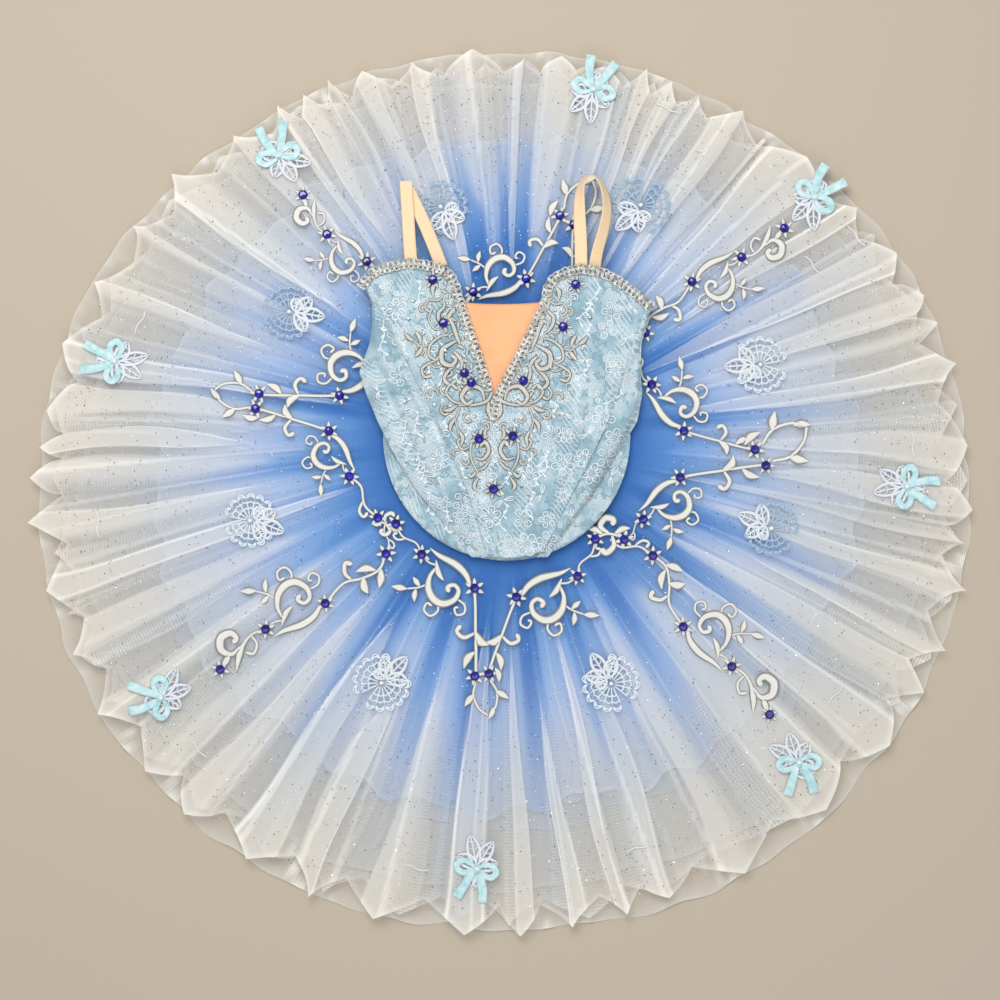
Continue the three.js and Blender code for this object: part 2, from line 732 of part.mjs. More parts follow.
for (const [k, place] of BUTTERFLIES.entries()) {
  placeMotif(`butterfly_${k + 1}`, butterflyShape(), wingThread, place.angle, place.reach);
}
for (const [k, place] of BOWS.entries()) {
  placeMotif(`bow_${k + 1}`, bowShape(), satin, place.angle, place.reach);
}

// The origin is exactly under the middle of the whole garment.
const middle = new THREE.Box3().setFromObject(tutu).getCenter(new THREE.Vector3());
tutu.position.set(-middle.x, -middle.y, 0);

export default tutu;
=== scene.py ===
import math

import bpy
import numpy as np
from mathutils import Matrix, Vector


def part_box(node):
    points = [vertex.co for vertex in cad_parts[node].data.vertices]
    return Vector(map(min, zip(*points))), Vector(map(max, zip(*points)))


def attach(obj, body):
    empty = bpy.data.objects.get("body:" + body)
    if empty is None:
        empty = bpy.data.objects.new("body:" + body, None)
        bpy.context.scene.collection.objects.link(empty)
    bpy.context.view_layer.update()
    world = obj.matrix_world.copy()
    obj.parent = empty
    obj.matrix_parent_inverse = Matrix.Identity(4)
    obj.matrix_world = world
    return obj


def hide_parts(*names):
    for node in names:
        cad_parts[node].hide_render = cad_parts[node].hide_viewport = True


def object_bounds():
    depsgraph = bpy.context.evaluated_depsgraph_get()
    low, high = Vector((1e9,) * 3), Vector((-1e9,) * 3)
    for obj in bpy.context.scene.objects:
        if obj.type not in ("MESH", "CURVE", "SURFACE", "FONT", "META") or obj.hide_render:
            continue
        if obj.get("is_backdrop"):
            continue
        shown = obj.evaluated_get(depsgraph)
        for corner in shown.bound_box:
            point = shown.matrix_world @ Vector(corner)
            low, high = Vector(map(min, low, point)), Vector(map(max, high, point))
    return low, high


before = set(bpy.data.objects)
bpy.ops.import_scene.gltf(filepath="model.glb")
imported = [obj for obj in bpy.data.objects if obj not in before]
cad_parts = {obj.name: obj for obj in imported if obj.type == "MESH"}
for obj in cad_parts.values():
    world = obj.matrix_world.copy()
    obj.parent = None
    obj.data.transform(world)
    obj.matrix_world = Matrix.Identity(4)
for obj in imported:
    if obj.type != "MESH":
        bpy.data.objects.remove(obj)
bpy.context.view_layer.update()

# -----------------------------------------------------------------------------
# The surface that the tutu lies on: a plain matt board, warm pale grey-beige. A large
# soft light hangs over it towards the bodice's top, and a wider and weaker one towards
# its foot. The camera looks straight down.
# -----------------------------------------------------------------------------

scene = bpy.context.scene
scene.view_settings.view_transform = "Standard"
scene.cycles.transparent_max_bounces = 96
scene.cycles.max_bounces = 7
scene.cycles.diffuse_bounces = 3


def add_node(tree, kind, values=None, **settings):
    """A shader node with its settings and with the given input sockets set or linked."""
    node = tree.nodes.new(kind)
    for key, value in settings.items():
        setattr(node, key, value)
    for key, value in (values or {}).items():
        if isinstance(value, bpy.types.NodeSocket):
            tree.links.new(value, node.inputs[key])
        else:
            node.inputs[key].default_value = value
    return node


def new_material(name, roughness=0.8, **values):
    """A material with one Principled shader; returns it, its tree and the shader."""
    material = bpy.data.materials.new(name)
    material.use_nodes = True
    shader = material.node_tree.nodes["Principled BSDF"]
    shader.inputs["Roughness"].default_value = roughness
    for key, value in values.items():
        shader.inputs[key.replace("_", " ")].default_value = value
    return material, material.node_tree, shader


def maths(tree, operation, a, b=0.0, c=0.0):
    """The result of one Math node."""
    return add_node(tree, "ShaderNodeMath", {0: a, 1: b, 2: c}, operation=operation).outputs[0]


def ramp(tree, factor, stops):
    """A colour ramp through (position, (r, g, b)) stops; returns its colour."""
    node = add_node(tree, "ShaderNodeValToRGB", {"Fac": factor})
    band = node.color_ramp
    while len(band.elements) < len(stops):
        band.elements.new(1.0)
    for element, (position, colour) in zip(band.elements, stops):
        element.position = position
        element.color = (*colour, 1.0)
    return node.outputs["Color"]


def colour_with(tree, shader, factor, stops):
    """Colours the shader by a ramp."""
    tree.links.new(ramp(tree, factor, stops), shader.inputs["Base Color"])


def make_mesh(name, points, faces, material, uv=None, smooth=True, **attributes):
    """An object from points (n, 3) and faces (m, 4 or 3), with per-point values by name.

    uv is one pair for each point. A value with three columns is a colour.
    """
    mesh = bpy.data.meshes.new(name)
    faces = np.asarray(faces, np.int32)
    corners = faces.shape[1]
    mesh.vertices.add(len(points))
    mesh.vertices.foreach_set("co", np.asarray(points, np.float32).ravel())
    mesh.loops.add(faces.size)
    mesh.loops.foreach_set("vertex_index", faces.ravel())
    mesh.polygons.add(len(faces))
    mesh.polygons.foreach_set("loop_start", np.arange(0, faces.size, corners, dtype=np.int32))
    mesh.polygons.foreach_set("use_smooth", np.full(len(faces), smooth))
    if uv is not None:
        layer = mesh.uv_layers.new(name="UVMap")
        layer.data.foreach_set("uv", np.asarray(uv, np.float32)[faces.ravel()].ravel())
    for key, values in attributes.items():
        values = np.asarray(values, np.float32)
        if values.ndim == 2:
            colour = np.ones((len(values), 4), np.float32)
            colour[:, :3] = values
            layer = mesh.attributes.new(key, "FLOAT_COLOR", "POINT")
            layer.data.foreach_set("color", colour.ravel())
        else:
            layer = mesh.attributes.new(key, "FLOAT", "POINT")
            layer.data.foreach_set("value", values)
    mesh.materials.append(material)
    mesh.update()
    mesh.validate()
    piece = bpy.data.objects.new(name, mesh)
    scene.collection.objects.link(piece)
    return piece


def grid_faces(rows, columns, ring=False):
    """Quads over a grid of points stored row by row, facing up when rows run outwards
    or to the top and columns run clockwise or to the right. A ring closes its columns."""
    last = columns if ring else columns - 1
    i, j = np.meshgrid(np.arange(rows - 1), np.arange(last), indexing="ij")
    here = i * columns + j
    right = i * columns + (j + 1) % columns
    quads = np.stack([here, right, right + columns, here + columns], axis=-1)
    return quads.reshape(-1, 4)


def finish_piece(piece, slot, *nodes):
    """The piece rides on the root and stands for CAD nodes, whose parts it hides; slot is not used."""
    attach(piece, "root")
    if nodes:
        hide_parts(*nodes)
    return piece


FLOOR_COLOUR = (0.500, 0.425, 0.335)
floor_material, tree, shader = new_material("matt board", 0.85)
floor_grain = add_node(tree, "ShaderNodeTexNoise", {"Scale": 1.1, "Detail": 3.0})
mottle = [(0.3, tuple(0.965 * c for c in FLOOR_COLOUR)), (0.7, FLOOR_COLOUR)]
colour_with(tree, shader, floor_grain.outputs["Fac"], mottle)
FLOOR_HALF = 9.0
floor_points = [(x, y, 0.0) for x, y in ((-1, -1), (1, -1), (1, 1), (-1, 1))]
floor = make_mesh("floor", np.array(floor_points) * FLOOR_HALF, [[0, 1, 2, 3]], floor_material)
floor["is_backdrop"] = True

CAMERA_HEIGHT = 2.6
VIEW_WIDTH = 1.0526  # what the picture takes in, at the skirt's height
camera_data = bpy.data.cameras.new("camera")
camera_data.lens = camera_data.sensor_width * (CAMERA_HEIGHT - 0.02) / VIEW_WIDTH
camera = bpy.data.objects.new("camera", camera_data)
camera.location = (-0.0053, -0.0063, CAMERA_HEIGHT)
scene.collection.objects.link(camera)
scene.camera = camera


def add_light(name, place, size, power, colour):
    """A square area light at a place, aimed at the middle of the skirt."""
    data = bpy.data.lights.new(name, "AREA")
    data.size = size
    data.energy = power
    data.color = colour
    lamp = bpy.data.objects.new(name, data)
    lamp.location = place
    aim = -np.array(place)
    lamp.rotation_euler = Vector(aim).to_track_quat("-Z", "Y").to_euler()
    scene.collection.objects.link(lamp)


add_light("key", (-0.32, 1.02, 2.15), 1.2, 39.5, (1.0, 0.985, 0.96))
add_light("fill", (0.35, -1.2, 2.4), 2.4, 24.3, (0.97, 0.985, 1.0))
world = bpy.data.worlds.new("studio")
world.use_nodes = True
world.node_tree.nodes["Background"].inputs["Color"].default_value = (0.92, 0.96, 1.0, 1.0)
world.node_tree.nodes["Background"].inputs["Strength"].default_value = 0.42
scene.world = world

# -----------------------------------------------------------------------------
# The skirt's base net: the widest and sheerest layer, a soft beige-white net that lies on
# the surface, with a narrow rolled hem at its wavy rim. Cut as a gathered ring.
# -----------------------------------------------------------------------------

base_low, base_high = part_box("skirt_base_net")
panty_low, panty_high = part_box("panty")
HALF_WIDTH = (base_high.x - base_low.x) / 2
HALF_DEPTH = (base_high.y - base_low.y) / 2
WAIST_X = (panty_high.x + panty_low.x) / 2
WAIST_Y = (panty_high.y + panty_low.y) / 2
RING = (panty_high.x - panty_low.x) / 2 + 0.002
RIM_HEIGHT = 0.004
WAIST_HEIGHT = 0.028
NET_LIFTS = {"smooth": 0.0012, "ombre": 0.0036, "dagged": 0.0074, "tulle": 0.0120}  # over the slope
CLOTH_DEPTH = 0.37  # metres of cloth from the waist to the rim


def outline_distance(angle):
    """From the waist's middle to the skirt's oval rim: the ray's far crossing with the
    ellipse, from the quadratic formula. Angles run clockwise from +Y."""
    dx, dy = np.sin(angle) / HALF_WIDTH, np.cos(angle) / HALF_DEPTH
    ox, oy = WAIST_X / HALF_WIDTH, WAIST_Y / HALF_DEPTH
    a = dx**2 + dy**2
    b = ox * dx + oy * dy
    return (-b + np.sqrt(b * b - a * (ox * ox + oy * oy - 1))) / a


def slope_height(reach):
    """The common slope of the nets, from the waist's height down to the rim's."""
    return RIM_HEIGHT + (WAIST_HEIGHT - RIM_HEIGHT) * (1 - np.clip(reach, 0, 1)) ** 1.2


def skirt_place(angle, reach):
    """x and y of a place on the skirt: the waist ring plus a share of the way out."""
    distance = RING + reach * (outline_distance(angle) - RING)
    return WAIST_X + distance * np.sin(angle), WAIST_Y + distance * np.cos(angle)


def ripple(angle, counts, seed):
    """An even, seeded sum of sines round the ring, between about -1 and 1."""
    phases = np.random.default_rng(seed).uniform(0, 2 * np.pi, len(counts))
    total = sum(np.sin(n * angle + p) for n, p in zip(counts, phases))
    return total / math.sqrt(len(counts))


def smooth_step(x):
    x = np.clip(x, 0, 1)
    return x * x * (3 - 2 * x)


def cloth_place(tree):
    """Places on the cloth's own coordinates, in metres."""
    return add_node(tree, "ShaderNodeUVMap", uv_map="UVMap").outputs["UV"]


def point_value(tree, name, output="Fac"):
    """A value that each point of the mesh carries."""
    return add_node(tree, "ShaderNodeAttribute", attribute_name=name).outputs[output]


def between(tree, value, low, high, start=0.0, end=1.0):
    """Runs from start to end while the value runs from low to high."""
    span = {"Value": value, "From Min": low, "From Max": high, "To Min": start, "To Max": end}
    return add_node(tree, "ShaderNodeMapRange", span).outputs["Result"]


def net_material(name, hole, thread, sheen=0.25):
    """Net: the point values tint and cover colour it and say how much of it is thread.

    Its hexagonal holes are a Voronoi pattern on the cloth's own coordinates (metres):
    between the holes the cover is raised, and in them it is lowered. hole is the size
    of a hole in metres, thread how strong the pattern is."""
    material, tree, shader = new_material(name, 0.85, Sheen_Weight=sheen, Specular_IOR_Level=0.25)
    cells = add_node(
        tree, "ShaderNodeTexVoronoi",
        {"Vector": cloth_place(tree), "Scale": 1 / hole, "Randomness": 0.35},
        feature="DISTANCE_TO_EDGE", voronoi_dimensions="2D",
    )
    edge = between(tree, cells.outputs["Distance"], 0.06, 0.26, 1.0 + thread, 1.0 - thread)
    alpha = maths(tree, "MULTIPLY", point_value(tree, "cover"), edge)
    tree.links.new(maths(tree, "MINIMUM", alpha, 1.0), shader.inputs["Alpha"])
    tree.links.new(point_value(tree, "tint", "Color"), shader.inputs["Base Color"])
    return material


def mix_tints(reach, stops):
    """A colour for each reach, straight between (reach, (r, g, b)) stops."""
    places = [s[0] for s in stops]
    channels = [np.interp(reach, places, [s[1][k] for s in stops]) for k in range(3)]
    return np.stack(channels, axis=-1)


def net_ring(name, material, angle, reach, height, tint, cover, across):
    """A ring of net from grids of angle, reach and height (rows run outwards).

    cover is raised where the cloth stands on edge, because more thread then lies in the
    way: cover becomes 1 - (1 - cover) ** (1 / slope), with slope the upright share of
    the surface normal. across is the length of cloth round the ring in metres."""
    x, y = skirt_place(angle, reach)
    rows, columns = angle.shape
    points = np.stack([x, y, height], axis=-1)
    along_row = np.roll(points, -1, axis=1) - np.roll(points, 1, axis=1)
    along_column = np.gradient(points, axis=0)
    normal = np.cross(along_row, along_column)
    upright = np.abs(normal[..., 2]) / np.maximum(np.linalg.norm(normal, axis=-1), 1e-12)
    cover = 1 - (1 - np.clip(cover, 0, 0.985)) ** (1 / np.clip(upright, 0.16, 1))
    u = np.broadcast_to(np.linspace(0, across, columns)[None, :], angle.shape)
    v = reach * CLOTH_DEPTH
    return make_mesh(
        name,
        points.reshape(-1, 3),
        grid_faces(rows, columns, ring=True),
        material,
        uv=np.stack([u, v], axis=-1).reshape(-1, 2),
        tint=tint.reshape(-1, 3),
        cover=cover.ravel(),
    )


BEIGE_WHITE = (0.80, 0.77, 0.70)
base_net_cloth = net_material("base net", 0.0021, 0.25)
rows, columns = 24, 840
share, turn = np.meshgrid(
    np.linspace(0, 1, rows), np.linspace(0, 2 * np.pi, columns, endpoint=False), indexing="ij"
)
rim = 0.984 + 0.0075 * ripple(turn, (3, 5, 8), 3) + 0.0055 * ripple(turn, (19, 27, 41, 53), 5)
reach = share * rim
height = 0.0008 + (0.0018 + 0.0016 * ripple(turn + 0.3 * share, (21, 34, 47, 13), 4)) * share**3
tint = mix_tints(reach, [(0, (0.5, 0.6, 0.8)), (0.6, (0.8, 0.8, 0.8)), (0.9, BEIGE_WHITE)])
crease = np.maximum(0, ripple(turn + 0.5 * share, (61, 83, 97, 40), 6)) ** 3
crease = crease * smooth_step((share - 0.8) / 0.15)
cover = 0.20 + 0.22 * crease + 0.30 * smooth_step((share - 0.989) / 0.009)
base_net = net_ring("base_net", base_net_cloth, turn, reach, np.maximum(height, 0.0004), tint, cover, 6.0)
finish_piece(base_net, "sheer_net", "skirt_base_net")

# -----------------------------------------------------------------------------
# The frills: two rings of crisp net gathered close, one over the other, that hold the
# skirt out. The upper is shorter, so both frilled edges show as soft steps.
# -----------------------------------------------------------------------------


def pleat_layout(count, unevenness, seed):
    """Pleats of uneven width round the ring: the angle at which each starts, so that
    the widths, drawn from a bell curve of logarithms, add up to a full turn."""
    widths = np.exp(np.random.default_rng(seed).normal(0, unevenness, count))
    starts = np.concatenate([[0], np.cumsum(widths)])
    return starts / starts[-1] * 2 * np.pi


def pleated_grid(starts, steps, rows):
    """Grids of share (0 at the waist, 1 at the hem), cloth (counted in pleats) and the
    angle where it lies; the angle runs smoothly through the pleats' starts."""
    count = len(starts) - 1
    cloth = np.arange(count * steps) / steps
    share, cloth = np.meshgrid(np.linspace(0, 1, rows), cloth, indexing="ij")
    padded = np.concatenate([starts[:-1] - 2 * np.pi, starts[:-1], starts + 2 * np.pi])
    place = np.arange(-count, 2 * count + 1)
    fine = np.linspace(-1, count + 1, 8 * count)
    coarse = np.interp(fine, place[: len(padded)], padded[: len(place)])
    window = np.hanning(15)
    soft = np.convolve(np.pad(coarse, 7, mode="edge"), window / window.sum(), mode="valid")
    return share, cloth, np.interp(cloth, fine, soft)


frill_net = net_material("frill net", 0.0022, 0.10)
# partly painted shade: the blue near the waist is dye; the grey towards the frills' hem is painted shade of
# the shadowed floor under the layers
FRILL_TINTS = [
    (0, (0.05, 0.17, 0.50)), (0.25, (0.20, 0.36, 0.68)), (0.5, (0.55, 0.64, 0.80)),
    (0.64, (0.58, 0.61, 0.66)),
]
FRILLS = ((0.705, 0.0052, 0.62), (0.650, 0.0026, 0.96))  # hem, depth under the slope, cover
for number, (hem, under, thick) in enumerate(FRILLS, start=1):
    starts = pleat_layout(76, 0.3, 20 + number)
    share, cloth, angle = pleated_grid(starts, 12, 17)
    angle = angle + 0.018 * smooth_step(share / 0.6) * np.sin(2 * np.pi * cloth)
    reach = share * (hem + 0.014 * ripple(angle, (9, 17, 31, 53), 30 + number))
    height = slope_height(reach) - under + (0.0006 + 0.0010 * share) * np.sin(2 * np.pi * cloth)
    tint = mix_tints(reach, FRILL_TINTS)
    cover = thick - 0.35 * thick * smooth_step((share - 0.90) / 0.1)
    cover = cover + 0.25 * smooth_step((share - 0.98) / 0.02)
    height = np.maximum(height, 0.0022)
    frill = net_ring(f"frill_{number}", frill_net, angle, reach, height, tint, cover, 7.0)
    nodes = ("skirt_net_stack",) if number == 1 else ()
    finish_piece(frill, "white_net", *nodes)

# -----------------------------------------------------------------------------
# The smooth net: a soft white ring with a plain rolled hem, lightly gathered.
# -----------------------------------------------------------------------------

smooth_cloth = net_material("smooth net", 0.0019, 0.2)
starts = pleat_layout(64, 0.3, 41)
share, cloth, angle = pleated_grid(starts, 10, 20)
reach = share * (0.875 + 0.012 * ripple(angle, (4, 7, 13, 31), 42))
height = slope_height(reach) + NET_LIFTS["smooth"] + (0.0003 + 0.0007 * share) * np.sin(2 * np.pi * cloth)
# partly painted shade: the blue at the waist is dye; the grey at mid reach, darker than the rim, is painted
# shade of the shadowed floor under the layers
tint = mix_tints(
    reach,
    [(0, (0.10, 0.25, 0.58)), (0.4, (0.5, 0.6, 0.8)), (0.6, (0.64, 0.67, 0.70)), (1, (0.76, 0.75, 0.70))],
)
cover = 0.24 + 0.2 * smooth_step((share - 0.985) / 0.012)
smooth_net = net_ring("smooth_net", smooth_cloth, angle, reach, height, tint, cover, 6.5)
finish_piece(smooth_net, "white_net", "skirt_smooth_net")

# -----------------------------------------------------------------------------
# The ombre net: dip-dyed deep blue at the waist and fading to pale lavender at its hem.
# It is pleated by hand, so the dye runs out in long uneven wedges.
# -----------------------------------------------------------------------------


def zigzag(phase):
    """0 at the middle of a pleat and 1 at its ends, straight between."""
    return np.abs(phase % 1.0 - 0.5) * 2


def own_value(values, cloth):
    """Each pleat's own value, all over that pleat."""
    return values[np.floor(cloth).astype(int) % len(values)]


FOLD_WIDTHS = [0.022, 0.05, 0.30]  # how wide a fold's edge is, in pleats: two crisp, one soft
CREASE_WIDTH = 0.020


def hand_pleats(count, seed, steps, rows, wide, lean=0.8, first=(0.0, 0.45)):
    """Hand-laid pleats: the grids of share, cloth and angle, with two shares at each
    point: tongue, where three thicknesses lie over each other, and crease, on the folds.

    A tongue starts as a point at the pleat's own distance out and widens as
    wide * (1 - exp(-(share - first) / 0.16)); its two folds lie either side of the
    pleat's middle, unevenly. The cloth also leans sideways as a sine of its phase."""
    own = np.random.default_rng(seed)
    starts = pleat_layout(count, 0.44, seed + 1)
    share, cloth, angle = pleated_grid(starts, steps, rows)
    phase = cloth % 1.0
    begin = own_value(own.uniform(*first, count), cloth)
    spread = 1 - np.exp(-np.maximum(share - begin, 0) / 0.16)
    width = own_value(own.uniform(*wide, count), cloth) * spread
    split = own_value(own.choice([0.12, 0.3, 0.5, 0.7, 0.88], count), cloth)
    from_left = phase - (0.5 - width * split)
    from_right = (0.5 + width * (1 - split)) - phase
    sharp_left = own_value(own.choice(FOLD_WIDTHS, count), cloth)
    sharp_right = own_value(own.choice(FOLD_WIDTHS, count), cloth)
    tongue = smooth_step(from_left / sharp_left + 0.5) * smooth_step(from_right / sharp_right + 0.5)
    tongue = tongue * smooth_step((share - begin) / 0.1)
    fade = smooth_step((share - begin + 0.05) / 0.12)
    bright_left = own_value(own.uniform(0.1, 1.1, count), cloth) * (sharp_left < 0.1)
    bright_right = own_value(own.uniform(0.1, 1.1, count), cloth) * (sharp_right < 0.1)
    crease = np.exp(-((from_left / CREASE_WIDTH) ** 2)) * bright_left
    crease = crease + np.exp(-((from_right / CREASE_WIDTH) ** 2)) * bright_right
    crease = np.minimum(crease * fade, 1.0)
    swing = own_value(own.uniform(-lean, lean, count), cloth)
    grow = smooth_step((share - 0.1) / 0.6)
    angle = angle + swing * grow * np.sin(2 * np.pi * cloth) / count
    angle = angle + 0.012 * share * ripple(angle + 0.6 * share, (7, 11, 17), seed + 2)
    return share, cloth, angle, tongue, crease


def fine_folds(angle, share, counts, seed):
    """Thin straight gathers from the waist outwards: the highest tenth of a ripple."""
    streak = ripple(angle + 0.02 * share, counts, seed)
    return smooth_step((streak - 0.75) / 0.5) * smooth_step(share / 0.15)


DEEP_BLUE = (0.035, 0.155, 0.52)
MID_BLUE = (0.10, 0.29, 0.66)
SKY_BLUE = (0.25, 0.46, 0.80)
LAVENDER = (0.50, 0.60, 0.82)
DYE_WEDGES = (  # degrees, half width in degrees, how much further out the dye runs
    (187, 3.0, 0.36), (198, 2.0, 0.22), (174, 2.0, 0.24), (161, 2.0, 0.14), (213, 2.5, 0.22),
    (3, 4.0, 0.36), (351, 3.0, 0.34), (17, 3.0, 0.30), (337, 2.5, 0.20), (29, 2.5, 0.20),
    (63, 3.0, 0.22), (84, 2.5, 0.16), (113, 2.0, 0.18), (126, 2.5, 0.22), (146, 2.0, 0.12),
    (240, 2.5, 0.12), (263, 2.0, 0.20), (281, 3.0, 0.28), (302, 2.5, 0.16), (318, 2.0, 0.14),
    (47, 2.0, 0.16),
)


def dye_run(angle):
    """How much further out the dye runs at an angle: a bell curve for each wedge."""
    degrees = np.degrees(angle) % 360
    total = np.zeros(angle.shape)
    for middle, half, out in DYE_WEDGES:
        gap = np.abs((degrees - middle + 180) % 360 - 180)
        total = np.maximum(total, out * np.exp(-((gap / (1.3 * half)) ** 4)))
    return total


ombre_cloth = net_material("ombre net", 0.0017, 0.10)
OMBRE_PLEATS = 52
share, cloth, angle, tongue, crease = hand_pleats(
    OMBRE_PLEATS, 51, 18, 38, wide=(0.3, 0.8), first=(0.0, 0.3)
)
reach = share * (0.66 + 0.020 * ripple(angle, (8, 15, 29, 44), 53))
height = slope_height(reach) + NET_LIFTS["ombre"] + (0.0004 + 0.0008 * share) * np.sin(2 * np.pi * cloth)
height = height + 0.0008 * tongue
own = np.random.default_rng(54)
run_out = own_value(own.normal(0, 0.08, OMBRE_PLEATS), cloth) + dye_run(angle)
dye = reach - run_out * smooth_step(share / 0.25) + 0.10 * tongue * smooth_step(share / 0.2) - 0.05 * crease
tint = mix_tints(
    dye,
    [(0.0, DEEP_BLUE), (0.14, MID_BLUE), (0.34, SKY_BLUE), (0.50, LAVENDER), (0.66, (0.74, 0.79, 0.87))],
)
cover = 0.90 - 0.42 * smooth_step((reach - 0.36) / 0.28) + 0.12 * smooth_step((share - 0.98) / 0.02)
ombre_net = net_ring("ombre_net", ombre_cloth, angle, reach, height, tint, cover, 6.5)
finish_piece(ombre_net, "blue_net", "skirt_ombre_net")

# -----------------------------------------------------------------------------
# The dagged net: a crisp net with larger six-sided holes. Its hem is cut in a zigzag with
# the points on its own pleats, and many show between those of the tulle above.
# -----------------------------------------------------------------------------

dagged_cloth = net_material("dagged net", 0.0032, 0.40)
DAGS = 44
share, cloth, angle, tongue, crease = hand_pleats(DAGS, 61, 22, 38, wide=(0.2, 0.5))
own = np.random.default_rng(62)
deep = own_value(own.uniform(0.5, 1.2, DAGS), cloth)
point = own_value(own.normal(0, 0.008, DAGS), cloth)
reach = share * (0.955 + point * (1 - zigzag(cloth)) - 0.060 * zigzag(cloth))
wave = np.sin(2 * np.pi * cloth)
height = slope_height(reach) + NET_LIFTS["dagged"] + (0.0003 + 0.0013 * share) * wave * deep
height = height + 0.0007 * tongue
dye = reach + 0.06 * tongue - 0.8 * dye_run(angle) * smooth_step(share / 0.3)
# partly painted shade: the blue at the waist is dye; the greys at mid reach, darker than the rim, are
# painted shade of the shadowed floor under the layers
tint = mix_tints(
    dye,
    [(0, (0.06, 0.22, 0.60)), (0.2, (0.24, 0.44, 0.78)), (0.42, (0.58, 0.66, 0.82)),
     (0.62, (0.66, 0.69, 0.73)), (0.80, (0.72, 0.72, 0.70)), (0.97, (0.86, 0.83, 0.76))],
)
streak = fine_folds(angle, share, (83, 131, 199, 47), 63)
cover = 0.19 + 0.19 * tongue + 0.40 * crease + 0.20 * streak + 0.16 * smooth_step((share - 0.985) / 0.015)
dagged_net = net_ring("dagged_net", dagged_cloth, angle, reach, height, tint, cover, 7.0)
finish_piece(dagged_net, "white_net", "skirt_dagged_net")

# -----------------------------------------------------------------------------
# The top tulle: the finest and fullest layer, blue at the waist and white further out.
# Its pleats lie over in white tongues with bright edges, and its hem is cut in points.
# -----------------------------------------------------------------------------

tulle_cloth = net_material("top tulle", 0.0016, 0.16, sheen=0.35)
PLEATS = 50
share, cloth, angle, tongue, crease = hand_pleats(
    PLEATS, 71, 26, 48, wide=(0.30, 0.72), lean=0.9, first=(0.02, 0.42)
)
own = np.random.default_rng(72)
deep = own_value(own.uniform(0.7, 1.1, PLEATS), cloth)
point = own_value(own.normal(0, 0.010, PLEATS), cloth)
reach = share * (0.985 + point * (1 - zigzag(cloth)) - 0.078 * zigzag(cloth))
wave = np.sin(2 * np.pi * cloth)
height = slope_height(reach) + NET_LIFTS["tulle"] + (0.0004 + 0.0022 * share) * wave * deep
height = height + 0.0010 * tongue * share + 0.0007 * crease
dye = reach + 0.13 * tongue + 0.10 * crease - 0.55 * dye_run(angle) * smooth_step(share / 0.3)
# partly painted shade: the blue at the waist is dye; the greyer whites at mid reach, darker than the rim,
# are painted shade of the shadowed floor under the layers
tint = mix_tints(
    dye,
    [(0, (0.07, 0.25, 0.66)), (0.12, (0.20, 0.42, 0.80)), (0.30, (0.62, 0.70, 0.87)),
     (0.46, (0.78, 0.81, 0.88)), (0.66, (0.80, 0.82, 0.84)), (0.82, (0.88, 0.87, 0.85)),
     (0.98, (0.94, 0.89, 0.81))],
)
inner = smooth_step((reach - 0.06) / 0.2)
streak = fine_folds(angle, share, (97, 151, 233, 61), 73)
cover = 0.13 + 0.05 * inner + (0.30 * tongue + 0.50 * crease + 0.22 * streak) * (0.35 + 0.65 * inner)
cover = cover + 0.20 * smooth_step((share - 0.988) / 0.010)
top_tulle = net_ring("top_tulle", tulle_cloth, angle, reach, height, tint, cover, 9.0)
finish_piece(top_tulle, "glitter_tulle", "skirt_top_tulle")
tulle_grids = (angle, reach, height)

# -----------------------------------------------------------------------------
# The panty inside the waist ring: plain pale aqua stretch cloth, a crotch band between
# two leg openings, seen only from below. Each half is one sheet round its leg's oval.
# -----------------------------------------------------------------------------

MM = 0.001


def object_place(tree):
    """Places in the object's own coordinates, in metres."""
    return add_node(tree, "ShaderNodeTexCoord").outputs["Object"]


def stripes(tree, place, scale, direction="X", **values):
    """The shade of a pattern of parallel bands."""
    values = {key.replace("_", " "): value for key, value in values.items()}
    values.update({"Vector": place, "Scale": scale})
    return add_node(tree, "ShaderNodeTexWave", values, bands_direction=direction).outputs["Fac"]


def clouds(tree, place, scale, detail=2.0):
    """The shade of a soft noise."""
    values = {"Vector": place, "Scale": scale, "Detail": detail}
    return add_node(tree, "ShaderNodeTexNoise", values).outputs["Fac"]


def bump_with(tree, shader, height, strength, distance):
    """Gives the shader a relief of this height, distance metres deep."""
    values = {"Height": height, "Strength": strength, "Distance": distance}
    bump = add_node(tree, "ShaderNodeBump", values)
    tree.links.new(bump.outputs["Normal"], shader.inputs["Normal"])


def knit_material(name, colour, pitch=0.0011, roughness=0.75, depth=0.25):
    """Fine stretch cloth: two crossed waves on Object coordinates make its ribs, and a
    soft noise varies the dye."""
    material, tree, shader = new_material(name, roughness, Sheen_Weight=0.2)
    place = object_place(tree)
    ribs = stripes(tree, place, 0.5 / pitch, "X", Distortion=1.2)
    cross = stripes(tree, place, 0.33 / pitch, "Y", Distortion=0.8)
    weave = maths(tree, "MULTIPLY_ADD", ribs, 0.6, maths(tree, "MULTIPLY", cross, 0.4))
    dye = maths(tree, "MULTIPLY", clouds(tree, place, 45.0, 4.0), 0.65)
    shade = maths(tree, "MULTIPLY_ADD", weave, 0.35, dye)
    colour_with(tree, shader, shade, [(0.25, tuple(0.80 * c for c in colour)), (0.6, colour)])
    bump_with(tree, shader, weave, depth, 0.0006)
    return material


def share_grid(rows, columns, first=0.0, last=1.0):
    """Grids of share (0 to 1 from row to row) and of what runs across, first to last."""
    return np.meshgrid(np.linspace(0, 1, rows), np.linspace(first, last, columns), indexing="ij")


